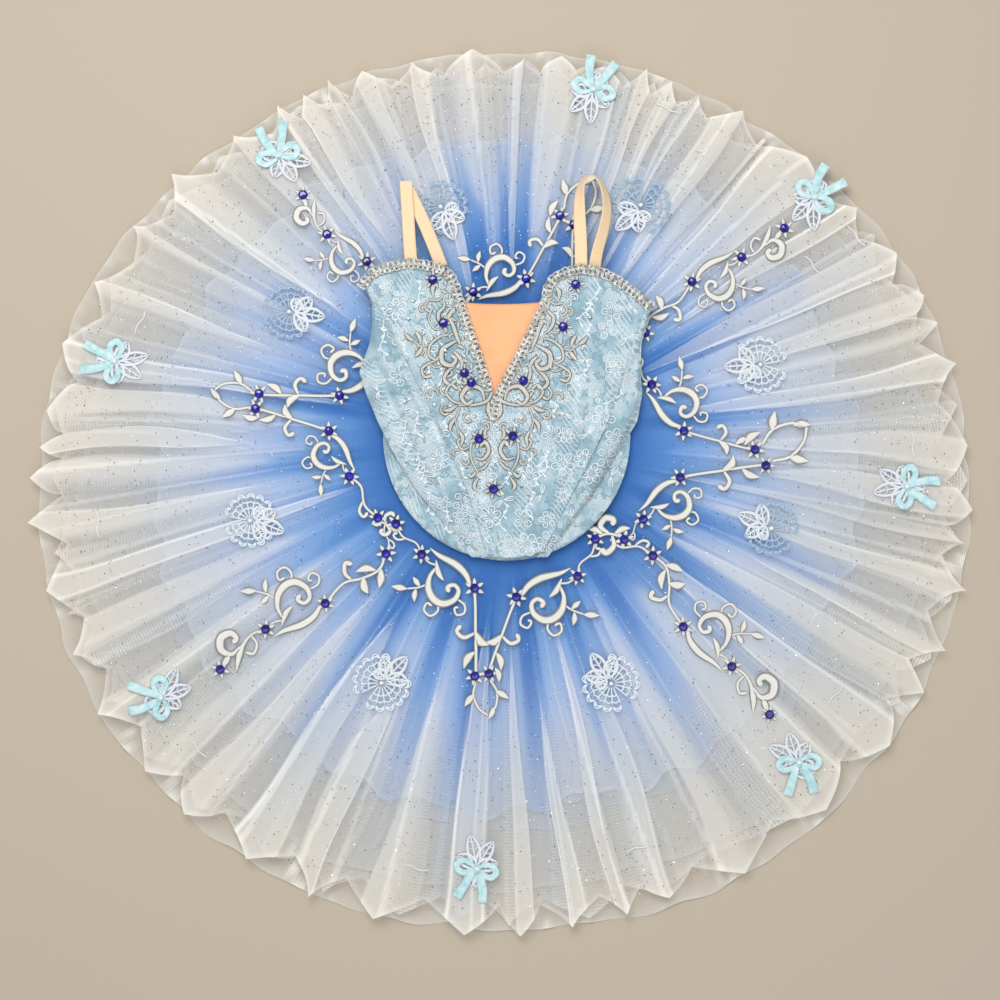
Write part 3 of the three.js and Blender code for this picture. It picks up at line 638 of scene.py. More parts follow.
def sheet_piece(name, x, y, z, material, thickness=0.0009, offset=-1.0, flip=False):
    """A sheet from grids of x, y and z; uv runs in metres of cloth. A modifier gives it
    its wall, below it or, at offset 0, to both sides. Flipped, it faces the other way."""
    points = np.stack([x, y, z], axis=-1)
    if flip:
        points = points[:, ::-1]
    step_u = np.linalg.norm(np.diff(points, axis=1, prepend=points[:, :1]), axis=-1)
    step_v = np.linalg.norm(np.diff(points, axis=0, prepend=points[:1]), axis=-1)
    uv = np.stack([np.cumsum(step_u, axis=1), np.cumsum(step_v, axis=0)], axis=-1)
    piece = make_mesh(name, points.reshape(-1, 3), grid_faces(*x.shape), material, uv=uv.reshape(-1, 2))
    wall = piece.modifiers.new("wall", "SOLIDIFY")
    wall.thickness = thickness
    wall.offset = offset
    return piece


aqua_cloth = knit_material("pale aqua stretch cloth", (0.46, 0.64, 0.74))
LEG_OUT, LEG_HALF_WIDE, LEG_HALF_LONG = 0.066, 0.040, 0.078


def panty_sheet(name, side):
    """One leg's half: rings blended from the leg oval out to the half disc's edge, so
    each point is (1 - share) of the oval plus share of the outer edge."""
    share, turn = share_grid(26, 120, 0, 2 * np.pi)
    leg_x = side * LEG_OUT + LEG_HALF_WIDE * np.cos(turn)
    leg_y = LEG_HALF_LONG * np.sin(turn)
    radius = RING - 0.003
    start = side * LEG_OUT * 0.55
    toward = np.arctan2(leg_y * 1.25, leg_x - start)
    edge_x, edge_y = np.cos(toward), np.sin(toward)
    reach_out = -start * edge_x + np.sqrt(np.maximum(radius**2 - (start * edge_y) ** 2, 0))
    wall = np.where(side * edge_x < -1e-3, np.abs(start) / np.maximum(np.abs(edge_x), 1e-3), 9.0)
    far = np.minimum(reach_out, wall)
    out_x, out_y = start + far * edge_x, far * edge_y
    x = WAIST_X + leg_x + share * (out_x - leg_x)
    y = WAIST_Y + leg_y + share * (out_y - leg_y)
    z = 0.0010 + 0.0011 * share * (1 + 0.5 * np.sin(9 * turn + 3 * share))
    return sheet_piece(name, x, y, z, aqua_cloth, 0.0007)


panty_left = finish_piece(panty_sheet("panty_left", -1), "aqua_cloth", "panty")
panty_right = finish_piece(panty_sheet("panty_right", 1), "aqua_cloth")

# -----------------------------------------------------------------------------
# The basque: the hip yoke that joins the bodice to the skirt's ring. Its front half is
# lace over aqua and shows beside the bodice; the back half is hidden and plain.
# -----------------------------------------------------------------------------

AQUA = (0.13, 0.285, 0.39)
LACE_WHITE = (0.75, 0.85, 0.89)


def vector_maths(tree, operation, values):
    """The result of one Vector Math node."""
    return add_node(tree, "ShaderNodeVectorMath", values, operation=operation).outputs[0]


def lace_motif(tree, place, scale, base, lobe, lobes, randomness, thin):
    """Rim and body shares of a lobed motif in each Voronoi cell: in it the distance and
    angle from its middle give radius = base + lobe * cos(lobes * angle + a turn of its
    own). The rim is thin, with a fainter one inside it."""
    cell = add_node(
        tree, "ShaderNodeTexVoronoi", {"Vector": place, "Scale": scale, "Randomness": randomness},
        voronoi_dimensions="2D",
    )
    local = vector_maths(tree, "SUBTRACT", {0: place, 1: cell.outputs["Position"]})
    parts = add_node(tree, "ShaderNodeSeparateXYZ", {0: local})
    spin = add_node(tree, "ShaderNodeSeparateColor", {0: cell.outputs["Color"]}).outputs[0]
    angle = maths(tree, "ARCTAN2", parts.outputs["Y"], parts.outputs["X"])
    angle = maths(tree, "MULTIPLY_ADD", angle, float(lobes), maths(tree, "MULTIPLY", spin, 12.6))
    edge = maths(tree, "MULTIPLY_ADD", maths(tree, "COSINE", angle), lobe, base)
    gap = maths(tree, "SUBTRACT", cell.outputs["Distance"], edge)
    rim = between(tree, maths(tree, "ABSOLUTE", gap), thin, 2.4 * thin, 1.0, 0.0)
    inner = maths(tree, "ABSOLUTE", maths(tree, "ADD", gap, 0.13))
    inner = between(tree, inner, thin, 2.2 * thin, 0.7, 0.0)
    return maths(tree, "MAXIMUM", rim, inner), between(tree, gap, -0.02, 0.02, 1.0, 0.0)


def lace_material(name, turn, shift):
    """White floral lace over aqua cloth, from Object coordinates turned by an angle.

    Large motifs are flowers with a thin raised rim and a faint netted body; smaller ones
    are leaves and sprigs. Between them lies a fine net of crossed lines, and along some
    broad bands close ladder lines run across."""
    material, tree, shader = new_material(name, 0.7, Sheen_Weight=0.2)
    values = {"Vector": object_place(tree), "Rotation": (0, 0, turn), "Location": shift}
    place = add_node(tree, "ShaderNodeMapping", values).outputs["Vector"]
    wobble = add_node(tree, "ShaderNodeTexNoise", {"Vector": place, "Scale": 60.0, "Detail": 3.0})
    swirl = vector_maths(tree, "SUBTRACT", {0: wobble.outputs["Color"], 1: (0.5, 0.5, 0.5)})
    swirl = vector_maths(tree, "SCALE", {0: swirl, "Scale": 0.006})
    bent = vector_maths(tree, "ADD", {0: place, 1: swirl})
    flower_rim, flower_body = lace_motif(tree, bent, 42.0, 0.36, 0.115, 5, 0.8, 0.020)
    leaf_rim, leaf_body = lace_motif(tree, bent, 84.0, 0.27, 0.19, 2, 0.95, 0.035)
    sprig_rim = lace_motif(tree, bent, 150.0, 0.27, 0.13, 3, 1.0, 0.06)[0]
    lines = []
    for direction, scale in (("X", 165.0), ("Y", 150.0), ("DIAGONAL", 105.0)):
        line = stripes(tree, place, scale, direction, Distortion=0.8, Detail=1.0)
        lines.append(between(tree, line, 0.60, 0.95))
    net = maths(tree, "MAXIMUM", lines[0], lines[1])
    bands = stripes(tree, bent, 8.0, "X", Distortion=2.6, Detail_Scale=1.2)
    ladder = maths(tree, "MULTIPLY", between(tree, bands, 0.55, 0.72), lines[2])
    ladder = maths(tree, "MULTIPLY", ladder, 0.62)
    ground = maths(tree, "MAXIMUM", maths(tree, "MULTIPLY", net, 0.40), ladder)
    patches = clouds(tree, place, 26.0, 3.0)
    shown = between(tree, patches, 0.34, 0.54, 0.30, 1.0)
    rims = maths(tree, "MAXIMUM", flower_rim, maths(tree, "MULTIPLY", leaf_rim, 0.9))
    rims = maths(tree, "MAXIMUM", rims, maths(tree, "MULTIPLY", sprig_rim, 0.6))
    rims = maths(tree, "MULTIPLY", rims, 0.55)
    bodies = maths(tree, "MAXIMUM", flower_body, leaf_body)
    filled = maths(tree, "MULTIPLY", maths(tree, "MULTIPLY_ADD", net, 0.35, 0.30), bodies)
    thread = maths(tree, "MULTIPLY", maths(tree, "MAXIMUM", filled, rims), shown)
    thread = maths(tree, "MAXIMUM", thread, ground)
    grain = clouds(tree, place, 1000.0)
    thread = maths(tree, "MULTIPLY", thread, maths(tree, "MULTIPLY_ADD", grain, 0.7, 0.62))
    cloudy = maths(tree, "MULTIPLY_ADD", patches, 0.30, maths(tree, "SUBTRACT", thread, 0.10))
    colour_with(tree, shader, cloudy, [(0.0, AQUA), (0.28, (0.33, 0.51, 0.60)), (0.72, LACE_WHITE)])
    bump_with(tree, shader, thread, 1.0, 0.0016)
    return material


lace_basque = lace_material("lace of the basque", 0.5, (0.1, 0.3, 0))
BASQUE_RADIUS = 0.1288


def basque_half(direction, top_line, crown, base):
    """Half a disc: columns across, rows from the straight top line to the round edge,
    crowned so that it is highest in the middle and turns down at the edge."""
    share, across = share_grid(28, 72, -1, 1)
    x = BASQUE_RADIUS * np.sin(across * np.pi / 2)
    edge = direction * np.sqrt(np.maximum(BASQUE_RADIUS**2 - x**2, 0))
    line = top_line - WAIST_Y
    y = line + share * (edge - line)
    radius = np.hypot(x, y) / BASQUE_RADIUS
    z = base + crown * (1 - np.clip(radius, 0, 1) ** 6)
    z = z + 0.0006 * np.sin(x * 160 + y * 70) * (1 - radius**2)
    return x + WAIST_X, y + WAIST_Y, z


x, y, z = basque_half(-1, 0.080, 0.0030, 0.0452)
basque_front = sheet_piece("basque_front_lace", x[::-1], y[::-1], z[::-1], lace_basque)
finish_piece(basque_front, "lace", "basque_front")
x, y, z = basque_half(1, 0.082, 0.0012, 0.0448)
basque_back = sheet_piece("basque_back_cloth", x, y, z, aqua_cloth)
finish_piece(basque_back, "aqua_cloth", "basque_back")

# -----------------------------------------------------------------------------
# The bodice front: centre front with both cups and the V, and a side panel on each side,
# of floral lace over aqua stretch cloth. Laid down, it is pulled into long folds that run
# from the armholes to the foot.
# -----------------------------------------------------------------------------

STATIONS = np.array(  # y, worn outline left, fold left, fold right, worn outline right (mm)
    [
        (226, -151, -148, 151, 155),
        (199, -139, -134, 148, 154),
        (178, -138, -123, 141, 148),
        (157, -141, -112, 133, 142),
        (127, -152, -97, 124, 141),
        (105, -145, -86, 117, 143),
        (76, -133, -72, 107, 138),
        (45, -118, -57, 93, 119),
        (3, -92, -39, 71, 94),
        (-25, -68, -30, 57, 74),
        (-72, -30, -16, 34, 40),
    ]
) * MM
NECKLINE = np.array(  # from armhole to armhole (mm)
    [
        (-150, 214), (-139, 228), (-122, 235), (-98, 239), (-72, 235), (-58, 227), (-51, 213), (-47, 197),
        (-31, 150), (-11, 98), (19, 150), (41, 196), (44, 211), (51, 223), (67, 231), (85, 233), (106, 227),
        (130, 212), (153, 192),
    ]
) * MM
V_TIP = 9
LONG_FOLDS = (  # run, depth and half width (mm): troughs, or ridges where the depth is negative
    (((-141, 203), (-112, 140), (-84, 85), (-56, 26)), 4.6, 5),
    (((-134, 214), (-103, 150), (-73, 92), (-42, 20)), -3.2, 8),
    (((-143, 165), (-122, 105), (-96, 45), (-70, -4)), 4.2, 5),
    (((-126, 150), (-106, 95), (-80, 38), (-58, -12)), -2.6, 7),
    (((-92, 128), (-72, 70), (-47, 10), (-32, -34)), 2.2, 4),
    (((-86, 132), (-64, 72), (-41, 12), (-27, -30)), -1.2, 7),
    (((152, 188), (141, 150), (124, 112), (104, 70)), 4.2, 5),
    (((142, 92), (126, 55), (101, 8), (70, -38)), 4.8, 5),
    (((130, 100), (108, 52), (82, 4), (53, -44)), -3.0, 8),
    (((104, 125), (84, 62), (60, 5), (39, -40)), 2.0, 4),
    (((96, 128), (77, 62), (53, 5), (33, -40)), -1.4, 7),
    (((-20, 60), (-14, 25), (-8, -10), (0, -50)), -1.0, 14),
    (((44, 60), (34, 22), (24, -14), (14, -52)), 1.2, 6),
    (((-120, 236), (-100, 205), (-90, 170), (-94, 140)), 1.4, 8),
    (((128, 218), (112, 192), (104, 160), (104, 130)), 1.4, 8),
)
FOLD_DEPTH = 1.3  # times the depths above


def path_distance(x, y, path):
    """Distance from grids of places to a broken line, and the share of it passed."""
    best = np.full(x.shape, 9.0)
    share = np.zeros(x.shape)
    corners = np.array(path) * MM
    for k in range(len(corners) - 1):
        start, run = corners[k], corners[k + 1] - corners[k]
        t = np.clip(((x - start[0]) * run[0] + (y - start[1]) * run[1]) / (run @ run), 0, 1)
        gap = np.hypot(x - start[0] - t * run[0], y - start[1] - t * run[1])
        share = np.where(gap < best, (k + t) / (len(corners) - 1), share)
        best = np.minimum(best, gap)
    return best, share


def bodice_form(x, y):
    """The front's height: a crown over the folded back, easing down to the basque at the
    foot, less each fold's trough (a bell curve across it, fading at both its ends)."""
    side = np.minimum(1, np.abs(x) / 0.158)
    lengthwise = np.sin(np.pi * np.clip((y + 0.110) / 0.400, 0, 1))
    z = 0.053 + 0.012 * (1 - side**2) * lengthwise
    return z - 0.0068 * smooth_step((0.045 - y) / 0.110)


def folds_at(x, y):
    total = np.zeros(x.shape)
    for path, depth, wide in LONG_FOLDS:
        gap, share = path_distance(x, y, path)
        fade = np.sin(np.pi * np.clip(share, 0.03, 0.97)) ** 0.6
        total = total - FOLD_DEPTH * depth * MM * np.exp(-((gap / (wide * MM)) ** 2)) * fade
    return total


def puckers(x, y, level=1.0):
    """Small uneven wrinkles: crossed sines whose phase drifts."""
    drift = 6 * np.sin(x * 31 + 1) + 5 * np.sin(y * 27)
    return level * 0.00025 * (np.sin(x * 210 + y * 90 + drift) + np.sin(y * 170 - x * 60 + 1.3 * drift))


def station(column, y):
    order = np.argsort(STATIONS[:, 0])
    return np.interp(y, STATIONS[order, 0], STATIONS[order, column])


lace_front = lace_material("lace of the front", 0.15, (0, 0, 0))
lace_left = lace_material("lace of the left side", -0.45, (0.21, 0.05, 0))
lace_right = lace_material("lace of the right side", 0.5, (-0.14, 0.4, 0))

TOP_KEYS = np.linspace(0, 1, len(NECKLINE))
across = np.sort(np.concatenate([np.linspace(0, 1, 112), TOP_KEYS]))
share, across = np.meshgrid(np.linspace(0, 1, 112), across, indexing="ij")
top_x = np.interp(across, TOP_KEYS, NECKLINE[:, 0])
top_y = np.interp(across, TOP_KEYS, NECKLINE[:, 1])
foot_x = -0.024 + across * 0.068
foot_y = WAIST_Y - np.sqrt((BASQUE_RADIUS - 0.0026) ** 2 - (foot_x - WAIST_X) ** 2)
y = foot_y + share * (top_y - foot_y)
left, right = station(2, y), station(3, y)
top_left, top_right = station(2, top_y), station(3, top_y)
top_share = np.clip((top_x - top_left) / (top_right - top_left), 0, 1)
x = left + (across + share * (top_share - across)) * (right - left)
z = bodice_form(x, y) + folds_at(x, y) + puckers(x, y)
edge_roll = 0.0022 * np.exp(-((1 - share) * (top_y - foot_y) / 0.004) ** 2)
z = z - edge_roll
bodice_front = sheet_piece("bodice_front_lace", x, y, z, lace_front)
finish_piece(bodice_front, "lace", "bodice_front")


def panel_drop(across, y):
    """How far a side panel lies below the front's form: where it tucks in under the
    fold, where it rolls down at the side seam, and at its foot."""
    tuck = 0.0030 * (1 - smooth_step(across / 0.30))
    roll = 0.0050 * smooth_step((across - 0.70) / 0.30) ** 2
    return tuck + roll + 0.0030 * smooth_step((-0.030 - y) / 0.036)


def side_sheet(name, outer, fold, side, material):
    """A side panel from its tuck under the centre's fold out to the worn outline, where
    it rolls down round the folded side seam. Its foot narrows away on the basque."""
    share, across = share_grid(110, 36)
    top = 0.221 if side < 0 else 0.199
    y = -0.066 + share * (top + 0.066)
    inner = station(fold, y) - side * 0.004
    x = inner + across * (station(outer, y) - inner)
    z = bodice_form(x, y) + folds_at(x, y) + puckers(x, y, 1.6) - panel_drop(across, y) - 0.0006
    return sheet_piece(name, x, y, np.maximum(z, 0.0472), material, flip=side < 0)


side_left = finish_piece(side_sheet("side_left", 1, 2, -1, lace_left), "lace", "bodice_side_left")
side_right = finish_piece(side_sheet("side_right", 4, 3, 1, lace_right), "lace", "bodice_side_right")

# -----------------------------------------------------------------------------
# The bodice back: two plain halves of the aqua stretch cloth, folded in under the front
# and meeting at the centre back.
# -----------------------------------------------------------------------------


def back_sheet(name, side, outer):
    """A flat half under the front: its outer edge follows the worn outline, inside it."""
    share, across = share_grid(30, 24)
    y = 0.022 + share * 0.174
    x = side * (0.0002 + across * (np.abs(station(outer, y)) - 0.007))
    z = np.maximum(0.0494, bodice_form(x, y) - 0.0078) + 0.0003 * np.sin(40 * x + 60 * y)
    return sheet_piece(name, x, y, z, aqua_cloth, flip=side < 0)


back_left = finish_piece(back_sheet("back_left", -1, 1), "aqua_cloth", "bodice_back_left")
back_right = finish_piece(back_sheet("back_right", 1, 4), "aqua_cloth", "bodice_back_right")

# -----------------------------------------------------------------------------
# The neck insert: smooth skin-coloured stretch cloth behind the V, with a turned top edge.
# -----------------------------------------------------------------------------

nude_cloth = knit_material("skin-coloured stretch cloth", (0.96, 0.45, 0.21), 0.0007, 0.6, 0.12)
share, across = share_grid(44, 32, -1, 1)
y = 0.092 + share * 0.108
opening = np.maximum(0.003, (y - 0.096) / 0.104 * 0.045) + 0.004
x = -0.006 + (y - 0.150) * 0.035 + across * opening
y = y - 0.0030 * (1 - across**2) * smooth_step(share)
z = bodice_form(x, y) - 0.0034 + 0.0004 * np.sin(140 * x + 30 * y) * share
z = z - 0.0012 * np.exp(-(((1 - share) / 0.02) ** 2))
neck_insert = sheet_piece("neck_insert_cloth", x, y, z, nude_cloth)
finish_piece(neck_insert, "nude_cloth", "neck_insert")

# -----------------------------------------------------------------------------
# The straps: flat cream elastic, sewn inside the cups. The left is pressed down with one
# fold; the right is turned over in a loop that stands on its edge.
# -----------------------------------------------------------------------------

elastic, tree, shader = new_material("cream elastic", 0.62, Sheen_Weight=0.15)
uv = cloth_place(tree)
weave = maths(tree, "MULTIPLY", stripes(tree, uv, 260.0, "Y"), stripes(tree, uv, 180.0, "X"))
colour_with(tree, shader, weave, [(0.0, (0.80, 0.56, 0.33)), (0.5, (0.95, 0.74, 0.48))])
bump_with(tree, shader, weave, 0.4, 0.0004)

STRAP_WIDTH = 0.013
STRAP_LEFT = (  # middle (mm), direction across it in plan and tip up on edge (degrees)
    (-97, 236, 54.4, 4, 0), (-99, 256, 54.4, 4, 0), (-101, 290, 53.8, 3, 0), (-103, 321, 53.0, 2, 0),
    (-103.1, 324.4, 51.5, 2, 0), (-103, 321.5, 50.0, 3, 0), (-100, 315, 49.8, 10, 0),
    (-88, 290, 49.6, 22, 0), (-76, 262, 49.6, 22, 0), (-66, 236, 49.6, 22, 0),
)
STRAP_RIGHT = (
    (79, 231, 54, 0, 0), (78.5, 262, 54.2, 0, 8), (77, 300, 54.4, 0, 30), (79, 320, 54.6, -18, 60),
    (85, 329, 54.2, -55, 72), (93, 330, 53.4, -100, 74), (101, 321, 52.4, -145, 64),
    (106, 300, 51, -176, 46), (103, 277, 50.5, -195, 34), (96, 252, 50, -198, 24), (93, 234, 50, -188, 12),
)


def smooth_run(keys, samples):
    """Values along a chain of keys: each span is a Catmull-Rom cubic, whose slope at a
    key is half the step from the key before to the key after."""
    keys = np.asarray(keys, float)
    padded = np.concatenate([2 * keys[:1] - keys[1:2], keys, 2 * keys[-1:] - keys[-2:-1]])
    t = np.linspace(0, len(keys) - 1, samples)
    k = np.minimum(t.astype(int), len(keys) - 2)
    f = (t - k).reshape(-1, *([1] * (keys.ndim - 1)))
    a, b, c, d = padded[k], padded[k + 1], padded[k + 2], padded[k + 3]
    curve = 2 * b + (c - a) * f + (2 * a - 5 * b + 4 * c - d) * f**2 + (3 * b - a - 3 * c + d) * f**3
    return 0.5 * curve


def strap_sheet(name, keys):
    run = smooth_run(keys, 90)
    middle = run[:, :3] * MM
    turn, tip = np.radians(run[:, 3]), np.radians(run[:, 4])
    side = np.stack([np.cos(turn) * np.cos(tip), np.sin(turn) * np.cos(tip), np.sin(tip)], axis=-1)
    offset = np.linspace(-0.5, 0.5, 9) * STRAP_WIDTH
    points = middle[:, None, :] + offset[None, :, None] * side[:, None, :]
    return sheet_piece(name, points[..., 0], points[..., 1], points[..., 2], elastic, 0.0011, offset=0.0)


strap_left = finish_piece(strap_sheet("strap_left_elastic", STRAP_LEFT), "elastic", "strap_left")
strap_right = finish_piece(strap_sheet("strap_right_elastic", STRAP_RIGHT), "elastic", "strap_right")

# -----------------------------------------------------------------------------
# The neck braid: silver gimp sewn over the neckline's edge. Two thick cords loop over
# each other along it, with a plain cord down the middle.
# -----------------------------------------------------------------------------

silver, tree, shader = new_material("silver gimp thread", 0.42, Metallic=0.35)
place = object_place(tree)
tone = [(0.32, (0.30, 0.29, 0.26)), (0.50, (0.62, 0.61, 0.57)), (0.68, (0.92, 0.91, 0.87))]
colour_with(tree, shader, clouds(tree, place, 240.0, 3.0), tone)
bump_with(tree, shader, stripes(tree, place, 700.0, "DIAGONAL"), 0.5, 0.0003)


def cord_points(path, radius, sides):
    """A cord's skin: at each point of the path, a circle in the plane square to it.
    Gives points (n, sides, 3). The frame is the path's direction crossed with up."""
    ahead = np.gradient(path, axis=0)
    ahead /= np.maximum(np.linalg.norm(ahead, axis=1, keepdims=True), 1e-9)
    side = np.cross(ahead, (0, 0, 1.0))
    side /= np.maximum(np.linalg.norm(side, axis=1, keepdims=True), 1e-9)
    rise = np.cross(side, ahead)
    turn = np.arange(sides) / sides * 2 * np.pi
    ring = side[:, None] * np.cos(turn)[None, :, None] + rise[:, None] * np.sin(turn)[None, :, None]
    return path[:, None] + ring * radius


def tube_faces(rows, sides):
    """Quads round a tube stored ring by ring, facing out."""
    return np.roll(grid_faces(rows, sides, ring=True)[:, ::-1], 1, axis=1)


def join_parts(parts):
    """Stacks (points, faces) pairs into one set."""
    points, faces, start = [], [], 0
    for part_points, part_faces in parts:
        points.append(part_points)
        faces.append(part_faces + start)
        start += len(part_points)
    return np.concatenate(points), np.concatenate(faces)


def even_run(keys, step):
    """A smooth run through keys, resampled at even steps of length."""
    fine = smooth_run(keys, 60 * len(keys))
    length = np.concatenate([[0], np.cumsum(np.linalg.norm(np.diff(fine, axis=0), axis=1))])
    places = np.arange(0, length[-1], step)
    return np.stack([np.interp(places, length, fine[:, k]) for k in range(fine.shape[1])], axis=-1)


BRAID_HALF = 0.0050
BRAID_STEP = 0.00042
LOOP_PITCH = 0.0052
CORD_SIDES = 5
BRAID_CORDS = (  # start, share of the sideways and of the lengthwise swing, radius
    (0.0, 1.0, 1.0, 0.00085), (np.pi, 1.0, -1.0, 0.00085), (0.4, 0.35, 0.5, 0.0010),
)


def braid(name, keys):
    """Looping cords: along the run s, the sideways place is A sin(w s) and the place
    along is s + B cos(w s), so each cord curls back over itself; a second runs half a
    loop behind, and a third, smaller, runs wavily down the middle."""
    run = even_run(keys, BRAID_STEP)
    ahead = np.gradient(run, axis=0)
    ahead /= np.linalg.norm(ahead, axis=1, keepdims=True)
    across = np.stack([-ahead[:, 1], ahead[:, 0]], axis=-1)
    s = np.arange(len(run)) * BRAID_STEP
    parts = []
    for start, wide, back, thick in BRAID_CORDS:
        phase = 2 * np.pi * s / LOOP_PITCH + start
        sway = 1 + 0.12 * np.sin(phase * 0.37 + start)
        flat = run + across * (BRAID_HALF * wide * sway * np.sin(phase))[:, None]
        flat = flat + ahead * (0.0022 * back * np.cos(phase * (1 if wide == 1 else 2)))[:, None]
        z = np.maximum(bodice_form(flat[:, 0], flat[:, 1]), 0.0515)
        z = z + 0.0014 + 0.0007 * np.cos(phase * 2 + start) + 0.0006 * (wide < 1)
        skin = cord_points(np.column_stack([flat, z]), thick, CORD_SIDES)
        parts.append((skin.reshape(-1, 3), tube_faces(len(run), CORD_SIDES)))
    points, faces = join_parts(parts)
    return make_mesh(name, points, faces, silver)


left_keys = list(NECKLINE[:V_TIP]) + [(-0.0170, 0.108)]
right_keys = list(NECKLINE[V_TIP + 1:][::-1]) + [(-0.003, 0.108), (-0.011, 0.090), (-0.012, 0.078)]
finish_piece(braid("neck_braid_left", left_keys), "silver_braid", "neck_trim_left")
finish_piece(braid("neck_braid_right", right_keys), "silver_braid", "neck_trim_right")

# -----------------------------------------------------------------------------
# The skirt's garland: machine-embroidered scrolls, leaves and small star flowers, cut out
# and sewn down over the folds. Ivory satin stitch fills each band between grey cords.
# -----------------------------------------------------------------------------

MAP_ROWS, MAP_TURNS = 54, 540


def crest_map(angle, reach, height):
    """The tulle's highest points on a grid of reach and angle: each cell takes the
    highest point in it, gaps take their highest neighbour, and the whole is softened."""
    cells = np.zeros((MAP_ROWS, MAP_TURNS))
    i = np.clip((reach * (MAP_ROWS - 1) + 0.5).astype(int), 0, MAP_ROWS - 1)
    j = (angle / (2 * np.pi) * MAP_TURNS).astype(int) % MAP_TURNS
    np.maximum.at(cells, (i.ravel(), j.ravel()), height.ravel())
    for _ in range(4):
        near = np.maximum(np.roll(cells, 1, axis=1), np.roll(cells, -1, axis=1))
        near[1:] = np.maximum(near[1:], cells[:-1])
        cells = np.where(cells > 0, cells, near)
    for _ in range(2):
        soft = (np.roll(cells, 1, axis=1) + np.roll(cells, -1, axis=1) + 2 * cells) / 4
        cells = np.maximum(soft, cells - 0.0004)
    return cells


TULLE_CRESTS = crest_map(*tulle_grids)


def on_net(x, y, lift=0.0006):
    """The height just over the tulle's folds at a place, read from its map of crests."""
    turn = np.arctan2(x - WAIST_X, y - WAIST_Y) % (2 * np.pi)
    reach = (np.hypot(x - WAIST_X, y - WAIST_Y) - RING) / (outline_distance(turn) - RING)
    row = np.clip(reach * (MAP_ROWS - 1), 0, MAP_ROWS - 1.001)
    column = turn / (2 * np.pi) * MAP_TURNS - 0.5
    i, j = row.astype(int), np.floor(column).astype(int)
    f, g = row - i, column - np.floor(column)
    a = TULLE_CRESTS[i, j % MAP_TURNS] * (1 - g) + TULLE_CRESTS[i, (j + 1) % MAP_TURNS] * g
    b = TULLE_CRESTS[i + 1, j % MAP_TURNS] * (1 - g) + TULLE_CRESTS[i + 1, (j + 1) % MAP_TURNS] * g
    return a * (1 - f) + b * f + lift


def embroidery_material(name, fill, cord, roughness=0.5, metallic=0.0):
    """Satin stitch: fine ribs across each band on its own coordinates, with the point
    value cord blending the fill's colour into the cord's along both edges."""
    material, tree, shader = new_material(name, roughness, Metallic=metallic, Sheen_Weight=0.1)
    ribs = stripes(tree, cloth_place(tree), 520.0, Distortion=0.4)
    edge = maths(tree, "SUBTRACT", point_value(tree, "cord"), 0.25)
    wear = clouds(tree, object_place(tree), 420.0, 3.0)
    mixed = maths(tree, "MULTIPLY_ADD", wear, 0.5, edge)
    colour_with(tree, shader, mixed, [(0.25, fill), (0.6, cord)])
    bump_with(tree, shader, maths(tree, "MULTIPLY_ADD", wear, 0.5, ribs), 0.55, 0.0003)
    return material


BAND_SECTION = np.array(  # place across (half widths), height share, cord share
    [(-1, 0, 1), (-0.93, 0.75, 1), (-0.72, 0.80, 0.8), (-0.5, 0.62, 0), (0, 1, 0),
     (0.5, 0.62, 0), (0.72, 0.80, 0.8), (0.93, 0.75, 1), (1, 0, 1)]
)
THREAD_SECTION = np.array([(-1, 0, 1), (-0.7, 0.8, 1), (0, 1, 0.2), (0.7, 0.8, 1), (1, 0, 1)])
RIBBON_SECTION = np.array(
    [(-1, 0, 0), (-0.98, 0.9, 0), (-0.5, 1.0, 0), (0, 0.8, 0), (0.5, 1.0, 0), (0.98, 0.9, 0), (1, 0, 0)]
)


def stitched(name, strokes, material, ground, tall=0.0011, step=0.0017, section=BAND_SECTION, blunt=False):
    """Bands of stitching from strokes. A stroke is (places as x + iy, widths), both in
    metres. Along its smooth run a cross-section is carried: the offset is its place
    across times half the width, and the height its share of the band's height, which
    rounds off to nothing at both ends; the width does too unless the ends are blunt.
    Its flat underside lies on the ground."""
    points, faces, uvs, cords, start = [], [], [], [], 0
    for places, widths in strokes:
        keys = np.column_stack([places.real, places.imag, widths])
        fine = smooth_run(keys, 24 * len(keys))
        length = np.concatenate([[0], np.cumsum(np.hypot(*np.diff(fine[:, :2], axis=0).T))])
        count = max(5, int(length[-1] / step))
        at = np.linspace(0, length[-1], count)
        x, y, width = (np.interp(at, length, fine[:, k]) for k in range(3))
        half = np.maximum(width, 0.0003) / 2
        ends = np.minimum(at, length[-1] - at)
        rounding = np.sqrt(np.clip(1 - (1 - np.clip(ends / np.maximum(half, 1e-5), 0, 1)) ** 2, 0.004, 1))
        run_x, run_y = np.gradient(x), np.gradient(y)
        norm = np.maximum(np.hypot(run_x, run_y), 1e-9)
        across = section[None, :, 0] * (half if blunt else half * rounding)[:, None]
        px = x[:, None] + across * (run_y / norm)[:, None]
        py = y[:, None] - across * (run_x / norm)[:, None]
        rise = np.minimum(tall, 0.25 * tall + 0.42 * half)
        pz = ground(px, py) + section[None, :, 1] * (rise * rounding)[:, None]
        points.append(np.stack([px, py, pz], axis=-1).reshape(-1, 3))
        uvs.append(np.stack([np.broadcast_to(at[:, None], across.shape), across], axis=-1).reshape(-1, 2))
        cords.append(np.broadcast_to(section[None, :, 2], across.shape).ravel())
        faces.append(grid_faces(count, len(section)) + start)
        rim = np.arange(count - 1) * len(section) + start
        last = len(section) - 1
        faces.append(np.stack([rim, rim + last + 1, rim + 2 * last + 1, rim + last], axis=-1))
        start += len(points[-1])
    return make_mesh(
        name, np.concatenate(points), np.concatenate(faces), material,
        uv=np.concatenate(uvs), cord=np.concatenate(cords),
    )


